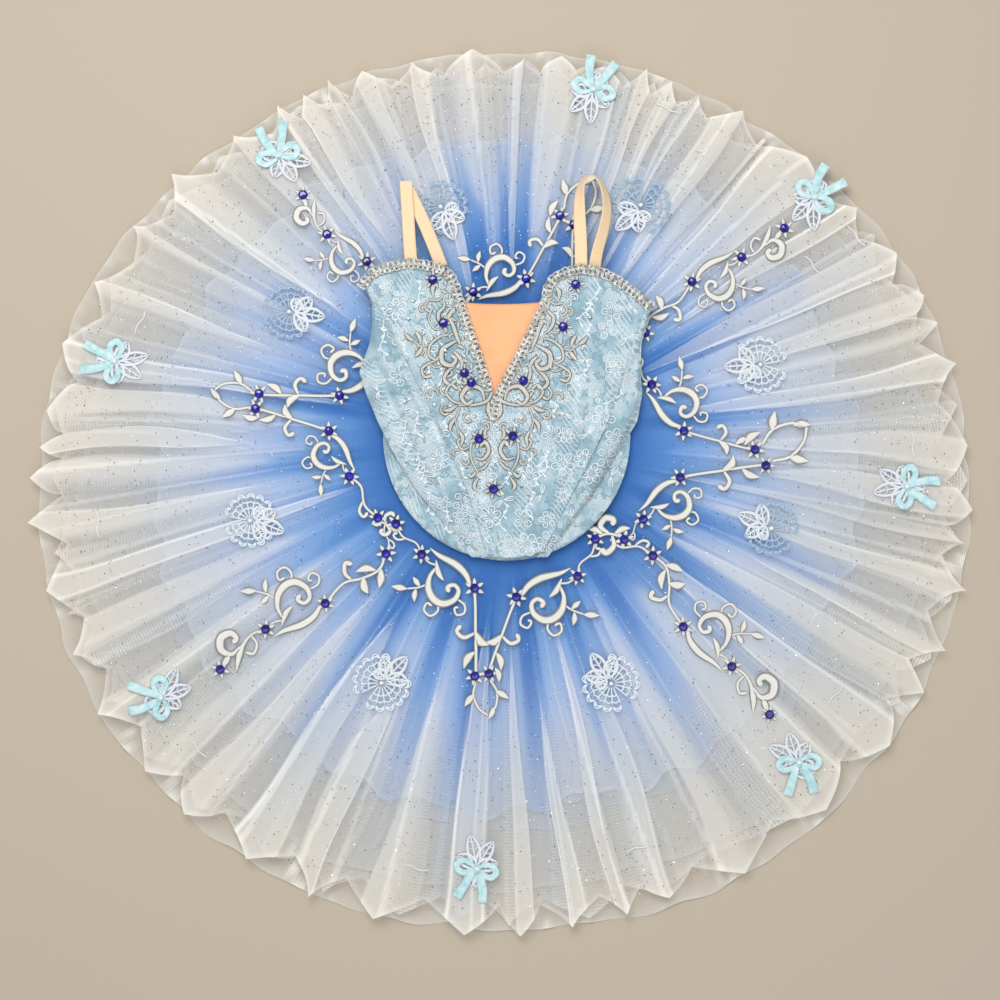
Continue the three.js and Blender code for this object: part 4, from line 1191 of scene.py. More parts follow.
def fitted(motif, motif_ends, ends, mirror=False, bold=1.55):
    """A motif's strokes turned, scaled and moved so that its two end places fall on the
    two given ones: place = start + ratio * (motif place - motif start), in complex
    numbers. Mirrored, the motif is flipped over first. bold widens every band."""
    first, last = (complex(*e) for e in motif_ends)
    if mirror:
        first, last = first.conjugate(), last.conjugate()
    ratio = (ends[1] - ends[0]) / (last - first)
    strokes = []
    for stroke in motif:
        keys = np.array(stroke, float)
        places = keys[:, 0] + 1j * keys[:, 1]
        if mirror:
            places = places.conjugate()
        strokes.append((ends[0] + ratio * (places - first), keys[:, 2] * abs(ratio) * bold))
    return strokes


def flower(centre, size, petals, turn):
    """A star flower's pointed petals: each runs from near the middle to its tip."""
    strokes = []
    for petal in range(petals):
        way = np.exp(1j * (turn + 2 * np.pi * petal / petals))
        share = np.array([0.25, 0.62, 1.0])
        strokes.append((centre + way * size * share, np.array([0.23, 0.46, 0.03]) * size))
    return strokes


# Each motif is drawn in millimetres as strokes of (x, y, width).
SCROLL_ENDS = ((-30, -7), (33, -25))
SCROLL = (
    ((27, -34, 0.4), (15, -29, 3.6), (-4, -25, 5.6), (-17, -18, 4.8), (-25, -8, 2.8)),
    ((33, -25, 1.5), (23, -19, 1.6), (13, -19, 1.8)),
    ((17, -24, 0.6), (11, -12, 4.6), (3, -5, 0.8)),
    ((13, -19, 1.8), (18, -6, 3.2), (16, 7, 5.4), (8, 16, 6.2), (-3, 18, 5.8), (-13, 11, 4.6),
     (-15, 1, 3.6), (-9, -4, 3.4), (-3, 0, 4.0), (-6, 5, 4.8)),
    ((-16, 9, 1.6), (-25, 13, 2.0), (-27, 21, 2.0), (-20, 25, 2.0), (-16, 19, 2.0), (-20, 17, 2.6)),
    ((2, 19, 1.6), (0, 27, 2.0), (6, 34, 2.1), (14, 30, 2.1), (13, 22, 2.0), (7, 24, 2.6)),
    ((17, 2, 1.5), (26, 9, 1.6), (38, 14, 1.5)),
    ((37, 14, 0.8), (45, 15, 5.6), (54, 16, 0.3)),
    ((25, 8, 0.8), (30, 4, 4.6), (35, 0, 0.3)),
    ((28, 11, 0.8), (28, 18, 4.8), (26, 25, 0.3)),
)
STEM_ENDS = ((21, 0), (6, 61))
STEM = (
    ((21, 0, 1.7), (17, 14, 1.6), (13, 30, 1.7), (9, 45, 1.7), (6, 58, 1.6)),
    ((13, 31, 1.4), (20, 36, 2.6), (26, 33, 2.4), (24, 28, 3.4)),
    ((14, 29, 0.8), (8, 36, 4.8), (1, 37, 0.4)),
    ((10, 44, 0.8), (14, 50, 4.4), (15, 58, 0.4)),
)
WREATH_ENDS = ((-6, 0), (6, 0))
WREATH = (
    ((-6, 5, 1.5), (-10, 16, 1.6), (-7, 28, 1.6), (0, 35, 1.5)),
    ((6, 5, 1.5), (10, 16, 1.6), (7, 28, 1.6), (0, 35, 1.5)),
    ((-9, 15, 0.8), (-14, 19, 4.6), (-19, 24, 0.4)),
    ((9, 15, 0.8), (14, 19, 4.6), (19, 24, 0.4)),
    ((-6, 28, 0.8), (-3, 33, 4.0), (1, 38, 0.4)),
    ((-12, -4, 0.8), (-14, 2, 4.2), (-13, 9, 0.4)),
)
TAIL_ENDS = ((0, 0), (48, 0))
TAIL = (
    ((0, 0, 1.6), (10, 4, 1.6), (20, 3, 2.2), (30, -2, 3.8), (40, -10, 0.4)),
    ((22, 3, 1.6), (33, 3, 3.0), (37, 11, 5.0), (31, 18, 5.4), (23, 16, 4.6), (22, 10, 3.6), (27, 9, 4.4)),
    ((12, 4, 1.4), (13, -4, 1.8), (20, -8, 1.9), (24, -3, 2.4)),
    ((34, 4, 0.8), (40, 2, 4.0), (47, 0, 0.4)),
)
ARM_STEM_ENDS = ((0, 0), (0, 60))
ARM_STEM = (
    ((0, 0, 1.6), (-6, 12, 1.6), (-3, 26, 1.6), (3, 40, 1.6), (0, 60, 1.6)),
    ((-6, 10, 0.8), (-12, 15, 4.8), (-17, 21, 0.4)),
    ((-5, 14, 0.8), (1, 19, 4.6), (4, 27, 0.4)),
    ((-2, 24, 0.8), (-9, 29, 5.2), (-15, 30, 0.4)),
    ((1, 33, 1.5), (8, 34, 2.6), (14, 29, 2.8), (10, 25, 3.6)),
)
BASE_ENDS = ((-14, 0), (14, 0))
BASE = (
    ((-14, 0, 1.6), (-4, 5, 2.0), (6, 4, 2.0), (14, 0, 1.6)),
    ((0, 5, 1.8), (-9, 12, 4.2), (-5, 20, 5.0), (3, 19, 4.6), (2, 13, 5.0)),
    ((2, 4, 1.8), (4, -6, 4.0), (-3, -13, 4.8), (-9, -9, 4.8)),
    ((4, 5, 0.8), (12, 10, 4.8), (20, 11, 0.4)),
    ((-6, 4, 0.8), (-14, 9, 4.6), (-21, 9, 0.4)),
)
LINK_ENDS = ((0, 0), (40, 0))
LINK = (
    ((0, 0, 1.6), (12, -3, 1.5), (26, 3, 1.5), (40, 0, 1.6)),
    ((22, 2, 1.4), (27, 9, 1.9), (33, 9, 2.0), (32, 4, 2.6)),
)

ivory_stitch = embroidery_material("ivory satin stitch", (0.80, 0.79, 0.73), (0.30, 0.28, 0.25))
QUARTERS = (  # two peak flowers, then a near and a far flower each way (degrees clockwise, reach)
    (((13.5, 0.39), (17.5, 0.37)), ((7, 0.14), (24, 0.14)), ((-13, 0.10), (38, 0.11))),
    (((92.8, 0.36), (96.2, 0.39)), ((88, 0.16), (103, 0.155)), ((70, 0.10), (121, 0.10))),
    (((184.3, 0.30), (187.6, 0.31)), ((176.5, 0.10), (192, 0.085)), ((153, 0.09), (216, 0.06))),
    (((276.5, 0.38), (280, 0.38)), ((272, 0.16), (284, 0.15)), ((256, 0.11), (304, 0.10))),
)
ARMS = (  # base flowers, then the arm's three flowers
    (((47, 0.06), (57, 0.08), (53, 0.17)), ((50, 0.40), (52.5, 0.575), (53, 0.745))),
    (((139, 0.035), (131, 0.09), (129, 0.175)), ((137, 0.36), (135.5, 0.525), (136.5, 0.685))),
    (((232, 0.05), (238, 0.08), (226, 0.12)), ((227.5, 0.325), (231.5, 0.49), (231, 0.65))),
    (((315, 0.05), (324, 0.08), (319, 0.16)), ((321.5, 0.355), (318.5, 0.51), (320, 0.67))),
)


def skirt_spot(spot):
    x, y = skirt_place(math.radians(spot[0]), spot[1])
    return complex(x, y)


def blossoms(spots, seed):
    """Star flowers at places, turned and sized a little unevenly."""
    own = np.random.default_rng(seed)
    strokes = []
    for place in spots:
        strokes += flower(place, 0.0102 * own.uniform(0.94, 1.08), 6, own.uniform(0, 1.0))
    return strokes


def add_garland(node, strokes):
    """One piece of the garland, which stands for a CAD node."""
    piece = stitched(f"{node}_stitching", strokes, ivory_stitch, on_net)
    finish_piece(piece, "white_embroidery", node)


skirt_stones = []
for k, (quarter, arm) in enumerate(zip(QUARTERS, ARMS), start=1):
    odd = k % 2 == 1
    peak, near, far = ([skirt_spot(s) for s in spots] for spots in quarter)
    base, limb = ([skirt_spot(s) for s in spots] for spots in arm)
    next_far = skirt_spot(QUARTERS[k % 4][2][0])
    skirt_stones += peak + near + far + base + limb
    strokes = fitted(STEM, STEM_ENDS, (near[1], peak[1]))
    strokes += fitted(STEM, STEM_ENDS, (near[0], peak[0]), mirror=True)
    strokes += fitted(WREATH, WREATH_ENDS, peak) + blossoms(peak, 80 + k)
    add_garland(f"garland_peak_{k}", strokes)
    strokes = fitted(SCROLL, SCROLL_ENDS, (near[1], far[1])) + blossoms((near[1], far[1]), 90 + k)
    add_garland(f"garland_low_a_{k}", strokes)
    strokes = fitted(SCROLL, SCROLL_ENDS, (near[0], far[0]), mirror=True)
    add_garland(f"garland_low_b_{k}", strokes + blossoms((near[0], far[0]), 95 + k))
    strokes = fitted(BASE, BASE_ENDS, (base[0], base[1]))
    strokes += fitted(ARM_STEM, ARM_STEM_ENDS, (base[2], limb[0]))
    strokes += fitted(LINK, LINK_ENDS, (far[1], base[0] if odd else base[1]))
    strokes += fitted(LINK, LINK_ENDS, (next_far, base[1] if odd else base[0]), mirror=True)
    strokes += fitted(LINK, LINK_ENDS, ((base[0] + base[1]) / 2, base[2]))
    strokes += fitted(SCROLL, SCROLL_ENDS, (limb[0], limb[1]), mirror=odd)
    strokes += fitted(TAIL, TAIL_ENDS, (limb[1], limb[2]), mirror=odd)
    add_garland(f"garland_arm_{k}", strokes + blossoms(base + limb, 100 + k))

# -----------------------------------------------------------------------------
# The blue stones: round faceted glass of a deep royal blue, one sewn on each star flower
# of the garland. A cell pattern paints darker and brighter reflections from facet to facet.
# -----------------------------------------------------------------------------


def painted_facet_light(tree, scale):
    """Painted reflections on facets: a value that jumps from cell to cell of a Voronoi pattern."""
    cells = add_node(tree, "ShaderNodeTexVoronoi", {"Vector": object_place(tree), "Scale": scale})
    return add_node(tree, "ShaderNodeSeparateColor", {0: cells.outputs["Color"]}).outputs[0]


stone_glass, tree, shader = new_material(
    "royal blue glass", 0.06, Coat_Weight=0.5, Coat_Roughness=0.03, Specular_IOR_Level=0.5
)
# painted reflections: each facet cell is coloured from nearly black to a brighter blue
facet_reflection_stops = [(0.0, (0.002, 0.001, 0.07)), (0.6, (0.006, 0.003, 0.20)), (0.95, (0.02, 0.02, 0.50))]
colour_with(tree, shader, painted_facet_light(tree, 420.0), facet_reflection_stops)
STONE_RADIUS = 0.0050

GEM_RINGS = ((1.0, 0.0), (1.0, 0.34), (0.94, 0.46), (0.60, 0.74))  # radius and height shares


def gems(name, centres, radii, ground, material, sides=10):
    """Faceted round stones joined as one mesh: rings of corners, each turned half a side
    from the one below, closed by a flat table above and a flat back below."""
    centres = np.asarray(centres)
    radii = np.broadcast_to(radii, len(centres))
    turn = np.arange(sides) / sides * 2 * np.pi
    corners, faces = [], []
    for level, (radius, rise) in enumerate(GEM_RINGS):
        swing = turn + (np.pi / sides if level >= 2 else 0) * (level - 1)
        ring = [radius * np.cos(swing), radius * np.sin(swing), np.full(sides, rise)]
        corners.append(np.column_stack(ring))
    corners = np.concatenate(corners + [np.array([[0, 0, 0.78], [0, 0, 0.0]])])
    here = np.arange(sides)
    after = (here + 1) % sides
    for level in range(len(GEM_RINGS) - 1):
        a, b = level * sides, (level + 1) * sides
        faces.append(np.column_stack([a + here, a + after, b + here]))
        faces.append(np.column_stack([a + after, b + after, b + here]))
    top = (len(GEM_RINGS) - 1) * sides
    middle = len(GEM_RINGS) * sides
    faces.append(np.column_stack([top + here, top + after, np.full(sides, middle)]))
    faces.append(np.column_stack([after, here, np.full(sides, middle + 1)]))
    faces = np.concatenate(faces)
    base = ground(centres.real, centres.imag)
    own = np.random.default_rng(len(centres))
    spin = own.uniform(0, np.pi, len(centres))
    cos, sin = np.cos(spin)[:, None], np.sin(spin)[:, None]
    x = centres.real[:, None] + radii[:, None] * (corners[None, :, 0] * cos - corners[None, :, 1] * sin)
    y = centres.imag[:, None] + radii[:, None] * (corners[None, :, 0] * sin + corners[None, :, 1] * cos)
    z = base[:, None] + radii[:, None] * corners[None, :, 2]
    points = np.stack([x, y, z], axis=-1).reshape(-1, 3)
    all_faces = (faces[None] + (np.arange(len(centres)) * len(corners))[:, None, None]).reshape(-1, 3)
    return make_mesh(name, points, all_faces, material, smooth=False)


def lifted(surface, lift):
    """The surface raised by lift metres."""
    return lambda x, y: surface(x, y, lift)


skirt_gems = gems("skirt_stones", skirt_stones, STONE_RADIUS, lifted(on_net, 0.0011), stone_glass)
finish_piece(skirt_gems, "stone")

# -----------------------------------------------------------------------------
# The bodice's embroidery: the lace's own flowers and leaves in raised white outline, and
# over them silver-grey corded sprays of curls and leaves up both sides of the V and below
# it, set with blue stones and small clear ones.
# -----------------------------------------------------------------------------

silver_stitch = embroidery_material(
    "silver satin stitch", (0.62, 0.61, 0.56), (0.13, 0.12, 0.105), 0.4, 0.2
)
lace_thread = embroidery_material("white lace outline", (0.82, 0.89, 0.92), (0.82, 0.89, 0.92), 0.7)
LACE_SECTION = np.array([(-1, 0, 0), (-0.62, 0.85, 0), (0, 1, 0), (0.62, 0.85, 0), (1, 0, 0)])
LACE_WIDTH = 1.12  # times the widths as drawn
SILVER_WIDTH = 1.45


def bodice_surface(x, y, lift=0.0003):
    """The height of what lies on top: the centre front between its folds, the side
    panels beyond them, and the basque outside the worn outline."""
    front = bodice_form(x, y) + folds_at(x, y)
    for outer, fold, side in ((1, 2, -1), (4, 3, 1)):
        inner = station(fold, y) - side * 0.001
        across = np.clip((x - inner) / (station(outer, y) - inner), 0, 1)
        panel = np.maximum(front - panel_drop(across, y), 0.0476)
        front = np.where(side * (x - inner) > 0, panel, front)
        radius = np.clip(np.hypot(x - WAIST_X, y - WAIST_Y) / BASQUE_RADIUS, 0, 1)
        basque = 0.0454 + 0.0030 * (1 - radius**6)
        front = np.where((side * (x - station(outer, y)) > -0.001) & (y < 0.075), basque, front)
    return front + lift


def lace_flower(middle, size, turn, petals):
    """A flower's outline: each petal a closed loop with a vein, about a small ring."""
    strokes = []
    out = np.array([0.20, 0.62, 0.96, 0.96, 0.62, 0.20])
    swing = np.array([0.0, -0.46, -0.22, 0.22, 0.46, 0.0])
    vein = np.array([0.3, 0.5, 0.76])
    for k in range(petals):
        way = turn + 2 * np.pi * k / petals
        strokes.append((middle + size * out * np.exp(1j * (way + swing)), np.full(6, 0.0012)))
        strokes.append((middle + size * vein * np.exp(1j * way), np.array([0.9, 1.3, 0.4]) * MM))
    ring = np.exp(1j * np.linspace(0, 2 * np.pi, 7))
    strokes.append((middle + size * 0.15 * ring, np.full(7, 0.0010)))
    return strokes


def lace_leaf(middle, size, turn):
    """A pair of leaves on one stalk: each an outline of two arcs with a vein."""
    strokes = []
    for way in (turn, turn + 2.5):
        share = np.array([0.05, 0.4, 0.8, 1.0])
        for bulge in (-0.30, 0.30):
            bend = bulge * np.sin(np.pi * share) * 1.2
            strokes.append((middle + size * share * np.exp(1j * (way + bend)), np.full(4, 0.0012)))
        vein = np.array([0.0, 0.45, 0.85])
        strokes.append((middle + size * vein * np.exp(1j * way), np.full(3, 0.0010)))
    return strokes


def lace_vine(start, way, length, sway):
    """A thread wandering along the cloth: sideways place = sway * sin, with small leaves
    standing off it by turns."""
    share = np.linspace(0, 1, 12)
    path = start + way * length * (share + 1j * sway * np.sin(share * 2 * np.pi * length / 0.03))
    strokes = [(path, np.full(12, 0.0013))]
    for k in range(1, 11, 2):
        lean = way * np.exp(1j * (0.9 if k % 4 == 1 else -0.9)) * 0.006
        strokes.append((path[k] + lean * np.array([0.0, 0.5, 1.0]), np.array([0.6, 2.6, 0.4]) * MM))
    return strokes


own = np.random.default_rng(121)
gx, gy = np.meshgrid(np.arange(-0.15, 0.16, 0.0215), np.arange(-0.07, 0.24, 0.0215))
gx = (gx + own.uniform(-0.0065, 0.0065, gx.shape)).ravel()
gy = (gy + own.uniform(-0.0065, 0.0065, gy.shape)).ravel()
worn = (gx > station(1, gy) + 0.011) & (gx < station(4, gy) - 0.011) & (gy > -0.055)
low = (np.hypot(gx - WAIST_X, gy - WAIST_Y) < BASQUE_RADIUS - 0.013) & (gy < 0.06)
neck = gy < np.interp(gx, NECKLINE[:, 0], NECKLINE[:, 1]) - 0.014
keep = (worn | low) & neck
strokes = []
for x, y, kind in zip(gx[keep], gy[keep], own.random(keep.sum())):
    middle = complex(x, y)
    if kind < 0.42:
        strokes += lace_flower(middle, own.uniform(0.0070, 0.0125), own.uniform(0, 6.3), own.integers(4, 7))
    elif kind < 0.70:
        strokes += lace_leaf(middle, own.uniform(0.0085, 0.0125), own.uniform(0, 6.3))
    else:
        down = np.exp(1j * (-0.5 * np.pi - 0.5 * np.clip(x / 0.14, -1, 1) + own.uniform(-0.2, 0.2)))
        strokes += lace_vine(middle - down * 0.014, down, own.uniform(0.026, 0.036), 0.12)
strokes = [(places, LACE_WIDTH * widths) for places, widths in strokes]
lace_motifs = stitched(
    "lace_motifs", strokes, lace_thread, bodice_surface, tall=0.0006, step=0.0021, section=LACE_SECTION
)
finish_piece(lace_motifs, "lace")


def on_bodice(x, y, lift=0.0008):
    return bodice_form(x, y) + folds_at(x, y) + lift


SPRAY = (  # left spray (mm from the V's foot); the right one is its mirror image
    ((-58, 105, 1.6), (-62, 92, 1.8), (-56, 82, 1.8), (-48, 84, 1.8), (-46, 92, 2.2)),
    ((-44, 122, 1.6), (-52, 112, 2.0), (-62, 112, 2.0), (-66, 104, 2.0), (-60, 99, 2.6)),
    ((-48, 118, 1.6), (-46, 106, 2.4), (-52, 98, 3.6), (-50, 88, 3.2), (-42, 80, 1.4)),
    ((-54, 130, 1.2), (-58, 124, 4.4), (-57, 114, 0.6)),
    ((-44, 96, 1.8), (-38, 88, 3.4), (-33, 74, 3.6), (-28, 62, 0.8)),
    ((-40, 76, 1.6), (-50, 74, 2.2), (-60, 66, 2.6), (-62, 55, 2.4), (-54, 50, 2.4), (-50, 57, 3.0)),
    ((-32, 70, 1.6), (-40, 66, 3.4), (-48, 60, 4.6), (-48, 48, 4.8), (-39, 44, 4.2), (-34, 50, 3.4),
     (-39, 55, 4.0)),
    ((-60, 66, 1.4), (-70, 64, 1.8), (-78, 70, 1.6)),
    ((-68, 64, 0.8), (-72, 58, 4.4), (-77, 52, 0.4)),
    ((-70, 66, 0.8), (-72, 74, 4.2), (-77, 81, 0.4)),
    ((-77, 69, 0.8), (-83, 73, 4.4), (-88, 79, 0.4)),
    ((-52, 50, 1.6), (-62, 46, 2.4), (-69, 40, 2.6), (-66, 32, 2.6), (-58, 34, 3.2)),
    ((-34, 44, 1.6), (-42, 38, 3.0), (-46, 30, 3.4), (-40, 24, 3.4), (-34, 29, 3.8)),
    ((-26, 52, 1.6), (-28, 40, 3.2), (-24, 28, 3.6), (-16, 18, 0.8)),
    ((-44, 28, 1.4), (-50, 20, 2.0), (-46, 13, 2.2), (-40, 16, 2.8)),
    ((-33, 24, 1.6), (-26, 14, 2.6), (-20, 8, 0.8)),
    ((-46, 90, 0.8), (-40, 97, 4.0), (-35, 106, 0.4)),
    ((-38, 60, 0.8), (-30, 52, 3.8), (-27, 44, 0.4)),
)
CENTRE = (  # left half of the motif below the V
    ((-2, 6, 1.8), (-8, -4, 3.0), (-22, -8, 2.4), (-38, -8, 1.6)),
    ((-10, -5, 1.6), (-14, 8, 3.4), (-26, 11, 4.4), (-34, 1, 4.0), (-29, -7, 3.2), (-22, -3, 3.6)),
    ((-32, -7, 1.6), (-43, -4, 2.2), (-50, 5, 2.4), (-45, 13, 2.4), (-38, 8, 3.0)),
    ((-38, -8, 0.8), (-46, -13, 4.0), (-54, -14, 0.4)),
    ((-35, -9, 1.4), (-40, -24, 1.6), (-36, -40, 1.4)),
    ((-38, -20, 0.8), (-45, -28, 4.0), (-46, -38, 0.4)),
    ((-37, -34, 0.8), (-33, -42, 3.8), (-35, -52, 0.4)),
    ((-6, -4, 1.8), (-6, -15, 4.2), (-1, -26, 0.6)),
    ((-17, -34, 1.6), (-24, -48, 2.0), (-24, -64, 2.0), (-17, -78, 1.6)),
    ((-23, -50, 1.4), (-33, -54, 2.0), (-38, -46, 2.2), (-32, -41, 2.6)),
    ((-22, -62, 1.4), (-12, -64, 3.2), (-6, -55, 3.8), (-10, -46, 3.6), (-15, -51, 4.0)),
    ((-18, -76, 1.4), (-10, -72, 2.4), (-3, -62, 0.6)),
    ((-18, -76, 0.8), (-24, -82, 3.8), (-28, -78, 0.4)),
    ((-16, -82, 0.8), (-21, -91, 3.8), (-18, -98, 0.4)),
    ((-8, -30, 0.8), (-10, -38, 3.2), (-7, -45, 0.4)),
)
V_FOOT = complex(-0.011, 0.100)
RIGHT_SHIFT = complex(0.003, -0.004)
SPRAY_SHIFT = (-6, -11)
CURLS = (  # middle (mm from the V's foot), radius, start (degrees)
    (-59, 38, 8.5, 200), (-71, 29, 6.5, 20), (-47, 26, 6.5, 120), (-76, 48, 6.0, 90),
    (-50, -14, 7.5, 60), (-64, 4, 6.0, 330), (-36, 8, 6.0, 250), (-64, 62, 6.5, 160),
    (-74, 92, 6.0, 20), (-44, 62, 5.5, 300),
)
LOW_CURLS = ((-29, -66, 5.0, 140), (-40, -58, 4.5, 20), (-10, -30, 5.0, 260), (-27, -22, 6.0, 90))


def curls(rows):
    """Spirals: place = middle + radius * (1 - 0.66 t) * exp(i (start + 5 t)), t from 0 to 1."""
    strokes = []
    for x, y, radius, start in rows:
        t = np.linspace(0, 1, 8)
        arm = radius * (1 - 0.66 * t) * np.exp(1j * (math.radians(start) + 5.0 * t))
        strokes.append(list(zip(x + arm.real, y + arm.imag, 1.3 + 1.3 * t)))
    return strokes


def on_front(strokes, mirror=False, shift=(0, 0)):
    """Strokes in millimetres about the V's foot, placed on the bodice's front."""
    placed = []
    for stroke in strokes:
        keys = (np.array(stroke, float) + (*shift, 0)) * MM
        side = -1 if mirror else 1
        places = side * keys[:, 0] + 1j * keys[:, 1] + V_FOOT + (RIGHT_SHIFT if mirror else 0)
        placed.append((places, keys[:, 2] * SILVER_WIDTH))
    return placed


FRONT_FLOWERS = (  # mm: four of the left spray, three of the right and three below the V
    (-75, 222), (-64, 177), (-42, 125), (-35, 115), (73, 217), (60, 173), (19, 117),
    (-27, 57), (8, 60), (-12, 5),
)
flower_places = [complex(x, y) * MM for x, y in FRONT_FLOWERS]
strokes = on_front(SPRAY, shift=SPRAY_SHIFT) + on_front(curls(CURLS))
for place in flower_places[:4]:
    strokes += flower(place, 0.0104, 5, 0.4 + 90 * place.imag)
V_SPINE = (complex(-0.019, 0.012), complex(-0.052, 0.118))  # from the V's foot up its left edge


def spine_leaves(mirror=False):
    """Small leaves in pairs along the V's edge, turned up and away from it by turns."""
    strokes = []
    for k, share in enumerate(np.linspace(0.02, 0.97, 15)):
        foot = V_SPINE[0] + share * (V_SPINE[1] - V_SPINE[0])
        way = np.exp(1j * (np.pi * 0.60 + (0.75 if k % 2 else -0.35))) * (0.0095 if k % 2 else 0.0075)
        places = foot + way * np.array([0.0, 0.5, 1.0])
        if mirror:
            places = -places.conjugate() + RIGHT_SHIFT
        strokes.append((places + V_FOOT, np.array([0.0010, 0.0042, 0.0004])))
    return strokes


strokes += spine_leaves()
spray_left = stitched("bodice_spray_left", strokes, silver_stitch, on_bodice, tall=0.0013)
finish_piece(spray_left, "silver_embroidery", "bodice_scroll_left")
strokes = on_front(SPRAY, mirror=True, shift=SPRAY_SHIFT) + on_front(curls(CURLS), mirror=True)
for place in flower_places[4:7]:
    strokes += flower(place, 0.0104, 5, 0.7 + 90 * place.imag)
strokes += spine_leaves(mirror=True)
spray_right = stitched("bodice_spray_right", strokes, silver_stitch, on_bodice, tall=0.0013)
finish_piece(spray_right, "silver_embroidery", "bodice_scroll_right")
left_half = list(CENTRE) + curls(LOW_CURLS)
right_half = [[(-x, y, w) for x, y, w in stroke] for stroke in left_half]
strokes = on_front(left_half) + on_front(right_half)
for place in flower_places[7:]:
    strokes += flower(place, 0.0112, 6, 0.3)
spray_centre = stitched(
    "bodice_spray_centre", strokes, silver_stitch, lifted(on_bodice, 0.0011), tall=0.0014
)
finish_piece(spray_centre, "silver_embroidery", "bodice_scroll_centre")
bodice_gems = gems("bodice_stones", flower_places, STONE_RADIUS, lifted(on_bodice, 0.0018), stone_glass)
finish_piece(bodice_gems, "stone")
clear_glass, tree, shader = new_material("clear glass stones", 0.08, Metallic=0.55)
# painted reflections: the clear stones' facet cells are coloured from dark grey to near white
clear_facet_reflection_tones = [(0.1, (0.10, 0.11, 0.13)), (0.5, (0.45, 0.47, 0.50)), (0.9, (0.95, 0.96, 1.0))]
colour_with(tree, shader, painted_facet_light(tree, 900.0), clear_facet_reflection_tones)
own = np.random.default_rng(131)
clear_places = (
    (-84, 166), (-60, 197), (-95, 200), (-57, 128), (-86, 127), (-73, 92), (-100, 182), (-52, 206),
    (52, 190), (72, 202), (88, 182), (47, 130), (66, 112), (80, 150), (34, 143), (56, 82),
    (-40, 28), (16, 32), (-26, 44), (2, 42), (-38, 84), (24, 84), (17, 8), (-62, 148), (44, 154),
)
centres = [complex(x, y) * MM for x, y in clear_places]
clear_radii = own.uniform(0.0013, 0.0021, len(centres))
small_gems = gems("bodice_clear_stones", centres, clear_radii, on_bodice, clear_glass, 7)
finish_piece(small_gems, "clear_stone")

# -----------------------------------------------------------------------------
# The butterflies: light blue or steel blue thread lace. Each wing is a fan of spokes that
# four rows of scallops cross; a pearl sits on the middle, and a white lace leaf spray lies
# towards the waist.
# -----------------------------------------------------------------------------

light_thread = embroidery_material("light blue thread", (0.46, 0.67, 0.85), (0.88, 0.94, 0.98), 0.6)
steel_thread = embroidery_material("steel blue thread", (0.20, 0.36, 0.58), (0.50, 0.65, 0.80), 0.6)
white_lace = embroidery_material("white lace thread", (0.86, 0.88, 0.90), (0.70, 0.74, 0.80), 0.7)
over_thread = lifted(on_net, 0.0012)
BUTTERFLIES = (  # degrees clockwise, reach
    (30, 0.52), (74, 0.43), (109, 0.43), (157, 0.38), (207, 0.40), (252, 0.40), (300, 0.41), (344, 0.43),
)
STEEL_WINGS = (1, 3, 7, 8)
LOOPS = 6
WING_SPREAD = 1.2
SCALLOPS = ((0.45, 0.22, 1.9), (0.70, 0.16, 1.9), (0.92, 0.15, 2.1), (0.97, 0.19, 1.7))  # out, bulge, mm


def arc_row(root, axis, radius, bulge, width):
    """Scallops: between each two neighbouring spokes a bow that stands out by bulge."""
    strokes = []
    edges = np.linspace(-WING_SPREAD, WING_SPREAD, LOOPS + 1)
    for a, b in zip(edges[:-1], edges[1:]):
        steps = np.linspace(0, 1, 5)
        way = np.exp(1j * (axis + a + (b - a) * steps))
        out = radius * (1 + bulge * np.sin(np.pi * steps))
        strokes.append((root + way * out, np.full(5, width)))
    return strokes


def wing(root, axis, length):
    """One wing: spokes from the root, and the rows of scallops across them."""
    strokes = []
    for spoke in np.linspace(-WING_SPREAD, WING_SPREAD, LOOPS + 1):
        way = np.exp(1j * (axis + spoke))
        strokes.append((root + way * length * np.array([0.12, 0.5, 0.9]), np.full(3, 0.0016)))
    for out, bulge, width in SCALLOPS:
        strokes += arc_row(root, axis, length * out, bulge, width * MM)
    return strokes


def leaf_spray(root, way, size, leaves):
    """White lace leaves fanned about a direction: (turn, length, fatness) each. A leaf is
    two bowed edges, a midrib and short slanting bars between, with open gaps."""
    strokes = []
    for turn, length, fat in leaves:
        ahead = way * np.exp(1j * turn) * length * size
        share = np.array([0.0, 0.25, 0.6, 0.85, 1.0])
        bend = np.exp(1j * 0.25 * turn * share)
        spread = np.array([0.0, 0.8, 1.0, 0.55, 0.0]) * fat * 0.62 / length
        for side in (-1, 1):
            edge = root + ahead * bend * (share + 1j * side * spread)
            strokes.append((edge, np.array([1.6, 3.4, 4.0, 3.0, 1.0]) * MM * size / 0.026))
            for at in (0.30, 0.52, 0.74):
                foot = root + ahead * np.exp(1j * 0.25 * turn * at) * at
                tip = foot + ahead * (0.12 + 1j * side * 0.55 * fat / length)
                strokes.append((np.array([foot, (foot + tip) / 2, tip]), np.full(3, 0.0016)))
        strokes.append((root + ahead * bend * share * 0.96, np.full(5, 0.0024)))
    return strokes


